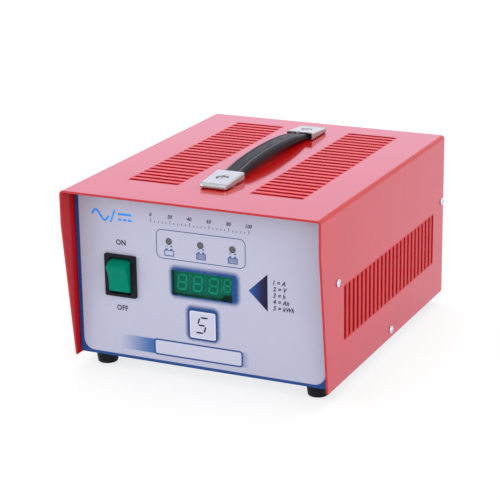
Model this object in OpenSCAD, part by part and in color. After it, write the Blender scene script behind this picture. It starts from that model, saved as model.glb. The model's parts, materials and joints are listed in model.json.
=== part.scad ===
// Battery charger in a folded steel case with a visor over its front panel.
// X runs across the width, Y from the front to the rear, and Z up.
// The origin is on the floor, under the middle of the whole part.

/* [Cover] */
// Overall width of the cover
cover_w = 203; // [192:1:230]
// Depth of the cover, from the visor's lip to its rear edge
cover_d = 254; // [244:1:300]
// Height of the cover
cover_h = 130; // [124:1:150]
// Thickness of the cover's sheet
sheet_t = 1.5; // [1:0.1:2]
// Outer radius of the cover's two long bends
cover_bend_r = 3; // [2.5:0.5:5]
// Length of the upright part of each cheek's front edge, below the top
cheek_straight = 25.4; // [15:0.2:40]
// How far each cheek's front edge leans back at the bottom
cheek_rake = 13; // [5:0.5:16]
// Distance from the lip back to the front wall
panel_inset = 18.3; // [17:0.1:24]

/* [Cooling slots] */
// Slots in each array
slot_count = 24; // [10:1:24]
// Distance from one slot to the next
slot_pitch = 8; // [6:0.2:8]
// Width of a slot
slot_w = 3; // [2:0.1:4]
// Length of a slot, over its round ends
slot_len = 40; // [20:1:44]
// Distance of each top array's middle from the middle of the cover
top_slots_x = 49; // [40:1:56]
// How far the top arrays sit behind the side arrays
top_slots_back = 2.2; // [0:0.1:4]
// Height of the side arrays' middle above the cover's bottom edge
side_slots_z = 51; // [45:1:56]

/* [Chassis] */
// Thickness of the chassis sheet
tray_t = 1.5; // [1:0.1:2]
// Outer radius of the chassis bends
tray_bend_r = 2.2; // [2.1:0.1:4]
// Gap between the chassis and each cheek of the cover
shell_gap = 0.1; // [0.1:0.05:0.4]
// Height of the base's underside above the cover's bottom edge
base_lift = 1; // [0:0.2:3]
// Gap between the top of the walls and the cover's top
wall_gap = 0.3; // [0.1:0.1:1]
// How far the rear wall sits inside the cover's rear edge
rear_recess = 0.5; // [0:0.1:2]
// Depth of the front wall's side flanges
front_flange = 20; // [18:0.5:22]
// Depth of the rear wall's side flanges
rear_flange = 14; // [12:0.5:16]
// Height of the base's side flanges
base_flange = 13; // [11:0.5:16]
// Size of the relief between two flanges
corner_relief = 4; // [2:0.5:6]

/* [Cover screws] */
// Shank radius of the cover screws
cover_screw_r = 1.5; // [1.2:0.1:1.8]
// Shank length of the cover screws
cover_screw_len = 8; // [6:0.5:10]
// Head radius of the cover screws
cover_head_r = 3; // [2.6:0.1:3.4]
// Head height of the cover screws
cover_head_h = 1.9; // [1.4:0.1:2.4]
// Height of the four end screws above the cover's bottom edge
end_screw_z = 77; // [74:0.5:82]
// Height of the two middle screws above the cover's bottom edge
mid_screw_z = 6.5; // [6:0.1:8]
// Distance of the front screws behind the front wall's face
front_screw_in = 12.2; // [10:0.2:14]
// Distance of the rear screws in front of the cover's rear edge
rear_screw_in = 5; // [4.5:0.1:8]
// Radial play of every screw in its hole
screw_play = 0.1; // [0.05:0.05:0.3]

/* [Feet] */
// Height of a foot
foot_h = 10.6; // [8:0.2:16]
// Radius of a foot where it meets the base
foot_top_r = 8.8; // [8:0.1:12]
// Radius of a foot where it meets the floor
foot_low_r = 7.6; // [7:0.1:7.9]
// Radius of the foot's lower edge
foot_edge_r = 1.4; // [0.5:0.1:1.8]
// Distance of the feet from the cover's outer sides
foot_side_in = 16; // [14:0.5:24]
// Distance of the feet from the front wall and from the cover's rear edge
foot_end_in = 14.6; // [13:0.2:24]
// Shank radius of the foot screws
foot_screw_r = 2; // [1.5:0.1:2.2]
// Radius of the foot screws' heads
foot_head_r = 3.8; // [3.4:0.1:4]
// Height of the foot screws' heads
foot_head_h = 2.6; // [1.8:0.1:3]
// Rubber between the head and the base
foot_web = 4; // [3:0.2:5]

/* [Handle] */
// Length of the handle over its two caps
handle_len = 188; // [180:1:210]
// Length of a cap
cap_len = 31; // [29:0.5:36]
// Width of a cap at its outer end
cap_outer_w = 21.2; // [20:0.2:22]
// Width of a cap at its mouth
cap_mouth_w = 22; // [22:0.2:26]
// Height of a cap at its outer end
cap_outer_h = 3.7; // [3.5:0.1:4.6]
// Height of a cap at its mouth
cap_mouth_h = 6.4; // [6.3:0.1:8]
// Radius of the cap's outer corners in plan
cap_corner_r = 3; // [2:0.2:6]
// Radius along the upper edges of a cap's sides
cap_edge_r = 1.4; // [1:0.1:1.6]
// Radius of the upper edge of a cap's outer end
cap_end_r = 1.8; // [1:0.1:2.2]
// Distance of the line pressed across a cap from its outer end
cap_line_in = 2.6; // [2.4:0.1:5]
// Gap between the rim of a cap and the cover
cap_lift = 0.8; // [0:0.1:1.2]
// Thickness of the cap's sheet
cap_t = 0.8; // [0.6:0.05:1]
// Distance of the handle screws from the outer ends
handle_screw_in = 17; // [14:0.5:18]
// Shank radius of the handle screws
handle_screw_r = 2.5; // [2:0.1:2.5]
// Head radius of the handle screws
handle_head_r = 4.6; // [4:0.1:5]
// Head height of the handle screws
handle_head_h = 1.9; // [1.2:0.1:2]
// Width of the strap
strap_w = 14.6; // [12:0.2:16]
// Thickness of the strap
strap_t = 5.3; // [4.6:0.1:5.4]
// Height of the strap's middle line above the cover, at mid-span
strap_rise = 7.6; // [7.4:0.1:10]
// Radius of the strap's long curve
strap_arch_r = 450; // [445:1:470]
// Radius of the strap's long edges
strap_edge_r = 2; // [1:0.1:2.2]
// Radius of the bead along each edge of the strap
strap_bead_r = 0.6; // [0.3:0.1:0.9]
// Thickness of the flat tongue inside each cap
tongue_t = 2.2; // [1.8:0.1:2.4]

/* [Front panel] */
// Thickness of the printed front film
film_t = 0.5; // [0.3:0.1:0.8]
// Gap between the film and the edges of the front wall
film_margin = 0.6; // [0.3:0.1:1.5]
// Height of the display's middle above the cover's bottom edge
display_z = 65.5; // [62:0.1:68]
// Distance of the display's middle to the right of the panel's middle
display_x = 2.2; // [-2:0.1:6]
// Width of the display window
window_w = 47.7; // [47:0.1:52]
// Height of the display window
window_h = 18.4; // [18:0.1:20]
// Clearance round the window's filter
filter_play = 0.15; // [0.1:0.05:0.3]
// Width of the filter's flange behind the panel
filter_rim = 2.5; // [1.5:0.1:3]
// Thickness of the filter's flange
filter_flange_t = 1.5; // [1:0.1:2]
// Height of the status lamps above the cover's bottom edge
led_z = 95.8; // [94:0.1:100]
// Distance between two status lamps
led_pitch = 25.1; // [22:0.1:26]
// Radius of a status lamp
led_r = 2.5; // [2:0.1:2.5]
// Length of a status lamp's body
led_len = 8.6; // [7:0.1:9]
// Height of the key's middle above the cover's bottom edge
key_z = 35.6; // [32:0.1:37]
// Side of the square key
key_w = 20.4; // [18:0.1:21]
// Radius of the key's corners
key_corner_r = 1.6; // [1:0.1:3]
// Gap round the key
key_play = 0.25; // [0.2:0.05:0.4]
// Travel of the key
key_travel = 0.3; // [0.2:0.05:0.5]
// Radius of the key's stem
key_stem_r = 1.75; // [1.5:0.05:2.5]
// Side of the key's switch
tact_w = 12; // [10:0.5:12]
// Height of the key's switch
tact_h = 4.3; // [3.5:0.1:5]

/* [Display board] */
// Width of the display board
display_board_w = 85; // [82:1:90]
// Height of the display board
display_board_h = 92; // [90:1:94]
// Thickness of both circuit boards
board_t = 1.6; // [1.2:0.1:2]
// Depth of the digit modules
digit_d = 8; // [7:0.1:9]
// Gap between the digits and the filter
digit_gap = 0.4; // [0.2:0.1:0.8]
// Width of a large digit module
digit_w = 12.5; // [12:0.1:12.6]
// Height of a large digit module
digit_h = 17.5; // [16:0.1:17.8]
// Width of the small digit module
small_digit_w = 9.4; // [8.5:0.1:9.4]
// Height of the small digit module
small_digit_h = 14.4; // [12:0.1:16]
// Width of a segment
segment_w = 1.5; // [1:0.1:1.6]
// Slant of the figures in degrees
segment_slant = 5; // [0:0.5:8]
// Depth of the segments in their module
segment_cut = 0.3; // [0.2:0.1:0.5]
// Width of the board spacers across their flats
spacer_flats = 5.5; // [5:0.1:6]
// Distance of the spacers from the display board's edges
spacer_in = 4; // [3.5:0.1:5]

/* [Rocker switch] */
// Height of the switch's middle above the cover's bottom edge
switch_z = 65.3; // [60:0.1:70]
// Distance of the switch's middle to the left of the panel's middle
switch_x = 62.9; // [60:0.1:66]
// Width of the bezel
bezel_w = 25.5; // [25:0.1:28]
// Height of the bezel
bezel_h = 32; // [31.6:0.1:34]
// Thickness of the bezel
bezel_t = 2; // [1.5:0.1:3]
// Radius of the bezel's corners
bezel_r = 1.2; // [0.5:0.1:3]
// Width of the switch body behind the panel
switch_body_w = 21.6; // [21.2:0.1:22]
// Height of the switch body behind the panel
switch_body_h = 29.6; // [29.4:0.1:30]
// Depth of the switch body behind the film
switch_body_d = 19; // [16:0.5:24]
// Gap between the switch body and the edges of its cut-out
switch_play = 0.2; // [0.1:0.05:0.4]
// Width of the rocker
rocker_w = 16.6; // [15:0.1:16.8]
// Radius of the rocker's ends about its pivot
rocker_r = 13.5; // [12:0.1:13.6]
// Height of the rocker's ends in front of its pivot
rocker_lift = 5.5; // [4.5:0.1:6]
// How far the rocker's face dips between its ends
rocker_dip = 1.6; // [0.8:0.1:2.4]
// Tilt of the rocker each way in degrees
rocker_tilt = 12.5; // [8:0.5:13]
// Depth of the pivot behind the bezel's face
pivot_depth = 2.7; // [2.4:0.1:3.5]
// Radius of the rocker's pivot pins
pivot_r = 1.5; // [1:0.1:2]
// Running clearance of the pivot pins
pivot_play = 0.05; // [0.03:0.01:0.09]
// Gap between the rocker and its well
rocker_play = 0.25; // [0.2:0.05:0.4]

/* [Main board] */
// Width of the main board
board_w = 150; // [135:1:160]
// Depth of the main board
board_d = 150; // [135:1:154]
// Height of the main board above the base
board_lift = 8; // [5:0.5:12]
// Distance of the board's front edge behind the front wall's face
board_start = 30; // [28:0.5:32]
// Distance of the board's spacers from its edges
board_hole_in = 5; // [4.5:0.1:5.5]
// Shank radius of the small screws
small_screw_r = 1.5; // [1:0.1:1.6]
// Radius of a main capacitor
bulk_cap_r = 12.5; // [10:0.5:13]
// Height of a main capacitor
bulk_cap_h = 45; // [30:1:60]
// Radius of an output capacitor
output_cap_r = 8; // [6:0.5:8]
// Height of an output capacitor
output_cap_h = 26; // [18:1:36]

/* [Transformer and chokes] */
// Width of the transformer's core
core_w = 50; // [48:0.5:52]
// Height of the transformer's core
core_h = 50; // [46:0.5:54]
// Thickness of the transformer's core
core_d = 17; // [15:0.5:18]
// Radius of the core's middle leg
core_leg_r = 7.5; // [6:0.1:8]
// Width of the core's outer legs and yokes
core_yoke = 7; // [5.5:0.1:7.2]
// Wall of the bobbin
bobbin_t = 1.2; // [1:0.1:1.4]
// Outer radius of the transformer's winding
winding_r = 16.5; // [14:0.1:16.6]
// Outer radius of the output choke's core
ring_r = 18; // [16:0.5:18]
// Bore radius of the output choke's core
ring_bore_r = 9; // [8:0.5:10]
// Height of the output choke's core
ring_h = 14; // [10:0.5:18]
// Thickness of the winding on the output choke
ring_winding_t = 2.4; // [1.8:0.1:2.6]

/* [Heatsinks] */
// Length of a heatsink
sink_len = 105; // [90:1:108]
// Height of a heatsink
sink_h = 62; // [50:1:80]
// Thickness of a heatsink's plate
sink_plate = 4; // [3:0.2:5]
// Length of the fins
fin_len = 17; // [10:0.5:18]
// Thickness of a fin
fin_t = 1.8; // [1.2:0.1:2.4]
// Number of fins
fin_count = 8; // [4:1:10]

/* [Rear wall] */
// Distance of the mains inlet to the left of the middle
inlet_x = 66; // [64:0.5:67]
// Height of the inlet and the gland above the cover's bottom edge
inlet_z = 34; // [28:0.5:40]
// Width of the inlet's flange
inlet_flange_w = 50; // [48:0.5:51]
// Height of the inlet's flange
inlet_flange_h = 22.4; // [21:0.2:25]
// Thickness of the inlet's flange
inlet_flange_t = 2.6; // [2:0.1:4]
// Width of the inlet's body
inlet_body_w = 27; // [26.8:0.1:28]
// Height of the inlet's body
inlet_body_h = 19.4; // [19:0.1:20.4]
// Depth of the inlet's body behind the wall
inlet_body_d = 20; // [17:0.5:24]
// Distance between the inlet's two screws
inlet_screw_pitch = 40; // [36:0.5:41]
// Distance of the gland to the left of the middle
gland_x = 22; // [20:0.5:24]
// Radius of the gland's thread
gland_thread_r = 10; // [9:0.1:10.2]
// Width of the gland's flats
gland_flats = 24; // [23:0.5:26]
// Length of the gland's hexagon outside the wall
gland_hex_len = 5; // [3:0.5:8]
// Length of the gland's domed nut
gland_dome_len = 16; // [14:0.5:20]
// Bore radius of the gland's seal
gland_bore_r = 4.75; // [3:0.05:5]
// Length of the gland's seal
gland_seal_len = 11; // [8:0.5:12]
// Distance of the fan to the right of the middle
fan_x = 46; // [44:0.5:47]
// Height of the fan's middle above the cover's bottom edge
fan_z = 68; // [60:0.5:74]
// Side of the fan's frame
fan_w = 80; // [78:0.5:82]
// Depth of the fan
fan_d = 25; // [20:0.5:28]
// Distance of the fan's screws from the sides of its frame
fan_hole_in = 4.25; // [4:0.05:4.8]
// Radius of the fan's hub
fan_hub_r = 16; // [14:0.5:18]
// Gap between the blades and the frame's throat
fan_tip_gap = 1; // [0.6:0.1:1.4]
// Number of blades
fan_blades = 7; // [5:1:9]
// Twist of the blades in degrees
fan_twist = 32; // [15:1:40]
// Radius of the fan's shaft
fan_shaft_r = 1.5; // [1:0.1:2]
// Running clearance of the fan's shaft
fan_shaft_play = 0.05; // [0.03:0.01:0.09]
// Width of the ring slots in the grille
grille_slot = 3.6; // [2:0.1:3.8]
// Width of the steel left between two ring slots
grille_web = 2.6; // [2:0.1:5]
// Width of the grille's spokes
grille_spoke = 5; // [3:0.5:8]

/* [Hidden] */
$fn = 48;
// How far a cutting shape runs past the face that it opens
through = 1;

// Heights of the case
base_z = foot_h;
floor_z = base_z + tray_t;
cover_z = base_z - base_lift;
top_z = cover_z + cover_h;
inner_top_z = top_z - sheet_t;
wall_top_z = inner_top_z - wall_gap;

// Depths of the case
gland_reach = gland_hex_len + gland_dome_len;
total_d = cover_d - rear_recess + gland_reach;
lip_y = -total_d / 2;
panel_y = lip_y + panel_inset;
film_y = panel_y - film_t;
panel_back_y = panel_y + tray_t;
cover_rear_y = lip_y + cover_d;
rear_y = cover_rear_y - rear_recess;
rear_inner_y = rear_y - tray_t;
mid_y = (panel_y + cover_rear_y) / 2;

// Widths of the case
tray_w = cover_w - 2 * sheet_t - 2 * shell_gap;
strip_w = tray_w - 2 * tray_bend_r;
tray_d = rear_y - panel_y;
wall_h = wall_top_z - base_z;
wall_corner_r = cover_bend_r - sheet_t;

// Places of the cover screws, as Y and Z on the cheek
cover_screw_places = [
    [panel_y + front_screw_in, cover_z + end_screw_z],
    [mid_y, cover_z + mid_screw_z],
    [cover_rear_y - rear_screw_in, cover_z + end_screw_z]
];

// Feet
foot_x = cover_w / 2 - foot_side_in;
foot_front_y = panel_y + foot_end_in;
foot_rear_y = cover_rear_y - foot_end_in;
foot_recess_r = foot_head_r + 0.4;

// Handle
handle_end_y = handle_len / 2;
handle_screw_y = handle_end_y - handle_screw_in;
cap_mouth_y = handle_end_y - cap_len;
cap_tilt = atan((cap_mouth_h - cap_outer_h) / cap_len);
cap_cup_t = 0.8;
cap_cup_r = handle_head_r + 0.9;
cap_seat_z = tongue_t + cap_cup_t;
cap_line_r = 0.4;
handle_nut_h = 1.6 * handle_screw_r;
strap_inset = 1.5;
strap_end_y = cap_mouth_y + strap_inset;
strap_angle = 2 * asin(strap_end_y / strap_arch_r);
strap_mouth_gap = 0.5;
strap_mouth_z = cap_mouth_h - cap_t - strap_mouth_gap;
strap_taper_len = 22;
strap_taper_y = cap_mouth_y - strap_taper_len;
strap_taper_z = strap_rise + strap_t / 2 - strap_arch_r + sqrt(pow(strap_arch_r, 2) - pow(strap_taper_y, 2));
strap_taper_angle = atan((strap_taper_z - strap_mouth_z) / (cap_mouth_y - strap_taper_y));
tongue_w = strap_w - 2.4;
tongue_end_y = handle_screw_y + 8;

// Rocker switch
switch_height = cover_z + switch_z;
bezel_y = film_y - bezel_t;
pivot_y = bezel_y + pivot_depth;
pivot_pin_len = 1.6;
well_w = rocker_w + 2 * rocker_play;
well_h = 2 * (rocker_r + rocker_play);
rocker_back = 5;
well_depth = pivot_depth + rocker_back + rocker_r * sin(rocker_tilt) + 0.6;
rocker_end_u = sqrt(pow(rocker_r, 2) - pow(rocker_lift, 2));
rocker_face_r = (pow(rocker_end_u, 2) + pow(rocker_dip, 2)) / (2 * rocker_dip);
switch_back_y = film_y + switch_body_d;
terminal_size = [6.3, 8, 0.8];

// Display and key
display_height = cover_z + display_z;
filter_back_y = panel_back_y + filter_flange_t;
board_face_y = filter_back_y + digit_gap + digit_d;
led_xs = [for (i = [-1:1]) display_x - 0.4 + i * led_pitch];
led_height = cover_z + led_z;
led_flange_r = led_r + 0.4;
key_height = cover_z + key_z;
key_t = film_t + tray_t;
stem_end_y = board_face_y - tact_h - key_travel - 0.05;
display_board_z = display_height;
digits_left_x = display_x - (3 * digit_w + small_digit_w) / 2;

// Main board
board_z = floor_z + board_lift;
board_top_z = board_z + board_t;
board_mid_y = panel_y + board_start + board_d / 2;
board_hole_x = board_w / 2 - board_hole_in;
board_hole_y = board_d / 2 - board_hole_in;
sink_face_x = board_w / 2 - fin_len - sink_plate - 1;
chip_t = 5;
chip_face_x = sink_face_x - chip_t;
chip_size = [16, 21];
chip_leg = 3;
diode_pitch = 26;
transistor_pitch = 24;

// Small screws, with their length past the sheet or the board
screw_grip = 4;
small_head_r = 2.8;
small_head_h = 2;

// Layout of the main board, as X and Y from its middle
board_gap = 3;
ribbon_zone = 8.5;
transformer_at = [0, -6];
choke_at = [15, 46];
filter_core_size = [26, 10, 24];
filter_core_leg = 6;
filter_coil_t = 2.5;
filter_choke_at = [filter_core_size[0] / 2 + filter_coil_t + board_gap - chip_face_x, 36];
main_cap_places = [
    for (i = [0, 1]) [
        bulk_cap_r + 0.5 + i * (2 * bulk_cap_r + board_gap) - chip_face_x,
        bulk_cap_r + ribbon_zone - board_d / 2
    ]
];
output_cap_places = [
    for (i = [0:2]) [
        chip_face_x - output_cap_r - board_gap,
        output_cap_r + 7 + 2 * i * (output_cap_r + 1) - board_d / 2
    ]
];
filter_cap_size = [26, 9, 18];
filter_cap_places = [
    for (i = [0, 1]) [
        filter_cap_size[0] / 2 + 5 - chip_face_x,
        board_d / 2 - 6.5 - i * (filter_cap_size[1] + 1.5)
    ]
];
relay_at = [-33, -23];
relay_size = [12, 20, 16];
fuse_at = [14 - chip_face_x, 10];
fuse_r = 2.6;
fuse_len = 20;
fuse_lift = 6;
fuse_cap_len = 5;
terminals_at = [sink_face_x - 4, board_d / 2 - 7];
terminals_size = [22, 12, 17];

// Rear wall
inlet_height = cover_z + inlet_z;
inlet_cavity = [24.4, 16.4];
inlet_cavity_d = 15;
inlet_chamfer = 5;
inlet_pin = [2, 4];
inlet_pin_places = [[0, 2], [-7, -2], [7, -2]];
inlet_pin_sink = 2;
inlet_tab_len = 8;
gland_bore_wall = 2;
gland_collar_r = gland_thread_r - 1.2;
gland_collar_len = 8;
gland_seal_r = gland_thread_r - 1.2 - gland_bore_wall;
gland_nut_len = 4.5;
gland_end_t = 2;
fan_height = cover_z + fan_z;
fan_front_y = rear_inner_y - fan_d;
fan_hole_pitch = fan_w - 2 * fan_hole_in;
fan_throat_r = fan_w / 2 - 1.6;
fan_flange = 4;
fan_blade_r = fan_throat_r - fan_tip_gap;
fan_hole_r = 2.1;
fan_base_t = 3;
fan_axial_gap = 0.5;
fan_tube_r = fan_shaft_r + 1.8;
grille_inner_r = 11;
grille_rings = floor((fan_throat_r - grille_inner_r - 1) / (grille_slot + grille_web));

// Extrudes a shape drawn in Y and Z from x0 to x1.
module extrude_x(x0, x1) {
    translate([x0, 0, 0])
        rotate([90, 0, 90])
            linear_extrude(x1 - x0)
                children();
}

// Extrudes a shape drawn in X and Z from y0 to y1.
module extrude_y(y0, y1) {
    translate([0, y1, 0])
        rotate([90, 0, 0])
            linear_extrude(y1 - y0)
                children();
}

// Extrudes a shape drawn in X and Y from z0 to z1.
module extrude_z(z0, z1) {
    translate([0, 0, z0])
        linear_extrude(z1 - z0)
            children();
}

module both_sides() {
    for (side = [0, 1])
        mirror([side, 0, 0])
            children();
}

module rounded_rect(w, h, r) {
    square([w - 2 * r, h], center = true);
    square([w, h - 2 * r], center = true);
    for (x = [-1, 1], y = [-1, 1])
        translate([x * (w / 2 - r), y * (h / 2 - r)])
            circle(r);
}

// Slot with round ends, lying along X.
module slot(len, w) {
    square([len - w, w], center = true);
    for (x = [-1, 1])
        translate([x * (len - w) / 2, 0])
            circle(d = w);
}

// Box from y = 0 to y = d with its two corners at y = 0 rounded.
module tub(w, d, r) {
    translate([-w / 2, r])
        square([w, d - r]);
    translate([-w / 2 + r, 0])
        square([w - 2 * r, r]);
    for (x = [-1, 1])
        translate([x * (w / 2 - r), r])
            circle(r);
}

// Section of a folded sheet: a web along X with a leg at each end.
module channel(w, d, t, r) {
    difference() {
        tub(w, d, r);
        translate([0, t])
            tub(w - 2 * t, d - t + through, max(r - t, 0.1));
    }
}

// Screw with its head above z = 0 and its shank below.
module pan_screw(r, len, head_r, head_h) {
    crown = head_h * 0.6;
    dome_r = (pow(head_r, 2) + pow(crown, 2)) / (2 * crown);
    translate([0, 0, -len])
        cylinder(r = r, h = len);
    intersection() {
        cylinder(r = head_r, h = head_h);
        translate([0, 0, head_h - dome_r])
            sphere(dome_r);
    }
}

module hexagon(flats) {
    circle(r = flats / 2 / cos(30), $fn = 6);
}

// Nut hanging below z = 0.
module nut(flats, bore_r, h) {
    translate([0, 0, -h])
        linear_extrude(h)
            difference() {
                hexagon(flats);
                circle(bore_r);
            }
}

// Draws its children at each slot of an array, counted from the middle of the body.
module slot_row() {
    for (i = [0 : slot_count - 1])
        translate([mid_y + (i - (slot_count - 1) / 2) * slot_pitch, 0])
            children();
}

// Cuts of the three screw holes in each cheek.
module cover_screw_holes(r) {
    for (place = cover_screw_places)
        translate([-cover_w / 2 - through, place[0], place[1]])
            rotate([0, 90, 0])
                cylinder(r = r, h = cover_w + 2 * through);
}

module cover() {
    color("firebrick") difference() {
        extrude_y(lip_y, cover_rear_y)
            translate([0, top_z])
                mirror([0, 1])
                    channel(cover_w, cover_h, sheet_t, cover_bend_r);
        // Leaning front edges of the cheeks
        extrude_x(-cover_w / 2 - through, cover_w / 2 + through)
            polygon([
                [lip_y - through, top_z - cheek_straight],
                [lip_y, top_z - cheek_straight],
                [lip_y + cheek_rake, cover_z],
                [lip_y + cheek_rake, cover_z - through],
                [lip_y - through, cover_z - through]
            ]);
        // Slots in the cheeks
        extrude_x(-cover_w / 2 - through, cover_w / 2 + through)
            slot_row()
                translate([0, cover_z + side_slots_z])
                    rotate(90)
                        slot(slot_len, slot_w);
        // Slots in the top
        both_sides()
            translate([top_slots_x, top_slots_back, 0])
                extrude_z(inner_top_z - through, top_z + through)
                    rotate(90)
                        slot_row()
                            rotate(90)
                                slot(slot_len, slot_w);
        cover_screw_holes(cover_screw_r + screw_play);
        for (end = [-1, 1])
            translate([0, mid_y + end * handle_screw_y, inner_top_z - through])
                cylinder(r = handle_screw_r + screw_play, h = sheet_t + 2 * through);
    }
}

module front_cutouts(play) {
    translate([-switch_x, switch_height])
        square([switch_body_w + 2 * switch_play, switch_body_h + 2 * switch_play], center = true);
    translate([display_x, display_height])
        square([window_w + 2 * filter_play, window_h + 2 * filter_play], center = true);
    for (x = led_xs)
        translate([x, led_height])
            circle(led_r + play);
    translate([display_x, key_height])
        rounded_rect(key_w + 2 * key_play, key_w + 2 * key_play, key_corner_r);
}

// Ring slots in front of the fan, broken by four spokes.
module grille() {
    difference() {
        for (i = [0 : grille_rings - 1])
            difference() {
                circle(grille_inner_r + i * (grille_slot + grille_web) + grille_slot);
                circle(grille_inner_r + i * (grille_slot + grille_web));
            }
        for (turn = [45, 135])
            rotate(turn)
                square([fan_w * 1.5, grille_spoke], center = true);
    }
}

module fan_hole_places() {
    for (x = [-1, 1], z = [-1, 1])
        translate([x * fan_hole_pitch / 2, z * fan_hole_pitch / 2])
            children();
}

module rear_cutouts() {
    translate([fan_x, fan_height]) {
        grille();
        fan_hole_places()
            circle(fan_hole_r);
    }
    translate([-gland_x, inlet_height])
        circle(gland_thread_r + screw_play);
    translate([-inlet_x, inlet_height]) {
        square([inlet_body_w + 2 * switch_play, inlet_body_h + 2 * switch_play], center = true);
        for (x = [-1, 1])
            translate([x * inlet_screw_pitch / 2, 0])
                circle(small_screw_r + screw_play);
    }
}

// Outline of the walls, whose upper corners clear the cover's bends.
module wall_outline(margin) {
    translate([0, wall_top_z - margin])
        mirror([0, 1])
            tub(tray_w - 2 * margin, wall_h - 2 * margin, max(wall_corner_r - margin, 0.1));
}

// Folded sheet of the chassis before its holes are cut.
module tray() {
    flange_gap = 1;
    intersection() {
        extrude_y(panel_y - through, rear_y + through)
            wall_outline(0);
        union() {
            extrude_x(-strip_w / 2, strip_w / 2)
                translate([(panel_y + rear_y) / 2, base_z])
                    channel(tray_d, wall_h, tray_t, tray_bend_r);
            extrude_z(base_z + corner_relief, wall_top_z) {
                translate([0, panel_y])
                    channel(tray_w, front_flange, tray_t, tray_bend_r);
                translate([0, rear_y])
                    mirror([0, 1])
                        channel(tray_w, rear_flange, tray_t, tray_bend_r);
            }
            extrude_y(panel_y + front_flange + flange_gap, rear_y - rear_flange - flange_gap)
                translate([0, base_z])
                    channel(tray_w, base_flange, tray_t, tray_bend_r);
        }
    }
}

// Tray with a base, a front and a rear wall, and side flanges on all three.
module chassis() {
    color("silver") difference() {
        tray();
        extrude_y(panel_y - through, panel_back_y + through)
            front_cutouts(0.2);
        extrude_y(rear_inner_y - through, rear_y + through)
            rear_cutouts();
        cover_screw_holes(cover_screw_r + screw_play);
        for (x = [-1, 1], y = [foot_front_y, foot_rear_y])
            translate([x * foot_x, y, base_z - through])
                cylinder(r = foot_screw_r + screw_play, h = tray_t + 2 * through);
    }
}

module front_overlay() {
    color("lightsteelblue")
        extrude_y(film_y, panel_y)
            difference() {
                wall_outline(film_margin);
                front_cutouts(0.1);
            }
}

module display_filter() {
    color("darkgreen")
        translate([display_x, 0, display_height]) {
            extrude_y(film_y, panel_back_y)
                square([window_w, window_h], center = true);
            extrude_y(panel_back_y, filter_back_y)
                rounded_rect(window_w + 2 * filter_rim, window_h + 2 * filter_rim, filter_rim / 2);
        }
}

module switch_housing() {
    color("dimgray")
        translate([-switch_x, 0, switch_height])
            difference() {
                union() {
                    extrude_y(bezel_y, film_y)
                        rounded_rect(bezel_w, bezel_h, bezel_r);
                    extrude_y(film_y, switch_back_y)
                        square([switch_body_w, switch_body_h], center = true);
                }
                extrude_y(bezel_y - through, bezel_y + well_depth)
                    square([well_w, well_h], center = true);
                both_sides()
                    translate([well_w / 2 - through, pivot_y, 0])
                        rotate([0, 90, 0])
                            cylinder(r = pivot_r + pivot_play, h = pivot_pin_len + through);
            }
}

// Side view of the rocker, with X to the front and Y up, about its pivot.
module rocker_side() {
    difference() {
        intersection() {
            circle(rocker_r);
            translate([-rocker_back, -rocker_r])
                square([rocker_back + rocker_r, 2 * rocker_r]);
        }
        translate([rocker_lift - rocker_dip + rocker_face_r, 0])
            circle(rocker_face_r, $fn = 96);
        translate([rocker_lift, -rocker_r])
            square([rocker_r, 2 * rocker_r]);
    }
}

module rocker() {
    color("seagreen")
        translate([-switch_x, pivot_y, switch_height])
            rotate([rocker_tilt, 0, 0]) {
                extrude_x(-rocker_w / 2, rocker_w / 2)
                    mirror([1, 0])
                        rocker_side();
                both_sides()
                    translate([rocker_w / 2 - through, 0, 0])
                        rotate([0, 90, 0])
                            cylinder(r = pivot_r, h = through + rocker_play + pivot_pin_len - 0.1);
            }
}

module switch_terminals() {
    color("goldenrod")
        for (x = [-5, 5], z = [-7, 7])
            translate([-switch_x + x - terminal_size[0] / 2, switch_back_y, switch_height + z])
                cube(terminal_size);
}

module select_key() {
    color("ghostwhite")
        translate([display_x, 0, key_height]) {
            extrude_y(film_y, film_y + key_t)
                rounded_rect(key_w, key_w, key_corner_r - key_play);
            extrude_y(film_y + key_t, stem_end_y)
                circle(key_stem_r);
        }
}

module select_switch() {
    color("dimgray")
        extrude_y(board_face_y - tact_h, board_face_y)
            translate([display_x, key_height])
                rounded_rect(tact_w, tact_w, 1);
}

module display_spacer_places() {
    for (x = [-1, 1], z = [-1, 1])
        translate([
            display_x + x * (display_board_w / 2 - spacer_in),
            display_board_z + z * (display_board_h / 2 - spacer_in)
        ])
            children();
}

module display_board() {
    color("darkolivegreen")
        extrude_y(board_face_y, board_face_y + board_t)
            difference() {
                translate([display_x, display_board_z])
                    rounded_rect(display_board_w, display_board_h, 2);
                display_spacer_places()
                    circle(small_screw_r + screw_play);
            }
}

module display_spacers() {
    color("gold")
        extrude_y(panel_back_y, board_face_y)
            display_spacer_places()
                difference() {
                    hexagon(spacer_flats);
                    circle(small_screw_r);
                }
}

// One segment, pointed at both ends, lying along X.
module segment(len) {
    half = segment_w / 2;
    polygon([
        [-len / 2, 0],
        [-len / 2 + half, half],
        [len / 2 - half, half],
        [len / 2, 0],
        [len / 2 - half, -half],
        [-len / 2 + half, -half]
    ]);
}

// Seven-segment figure of the given width and height, without its slant.
module figure_eight(w, h) {
    gap = 0.2;
    for (row = [-1, 0, 1])
        translate([0, row * h / 2])
            segment(w - gap);
    for (x = [-1, 1], row = [-1, 1])
        translate([x * w / 2, row * h / 4])
            rotate(90)
                segment(h / 2 - gap);
}

// Digit block with its figure sunk into the front face.
module digit(w, h) {
    slant = [[1, tan(segment_slant), 0, 0], [0, 1, 0, 0], [0, 0, 1, 0], [0, 0, 0, 1]];
    face_y = board_face_y - digit_d;
    difference() {
        extrude_y(face_y, board_face_y)
            square([w, h], center = true);
        extrude_y(face_y - through, face_y + segment_cut)
            multmatrix(slant)
                figure_eight(w * 0.52, h * 0.62);
    }
}

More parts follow.
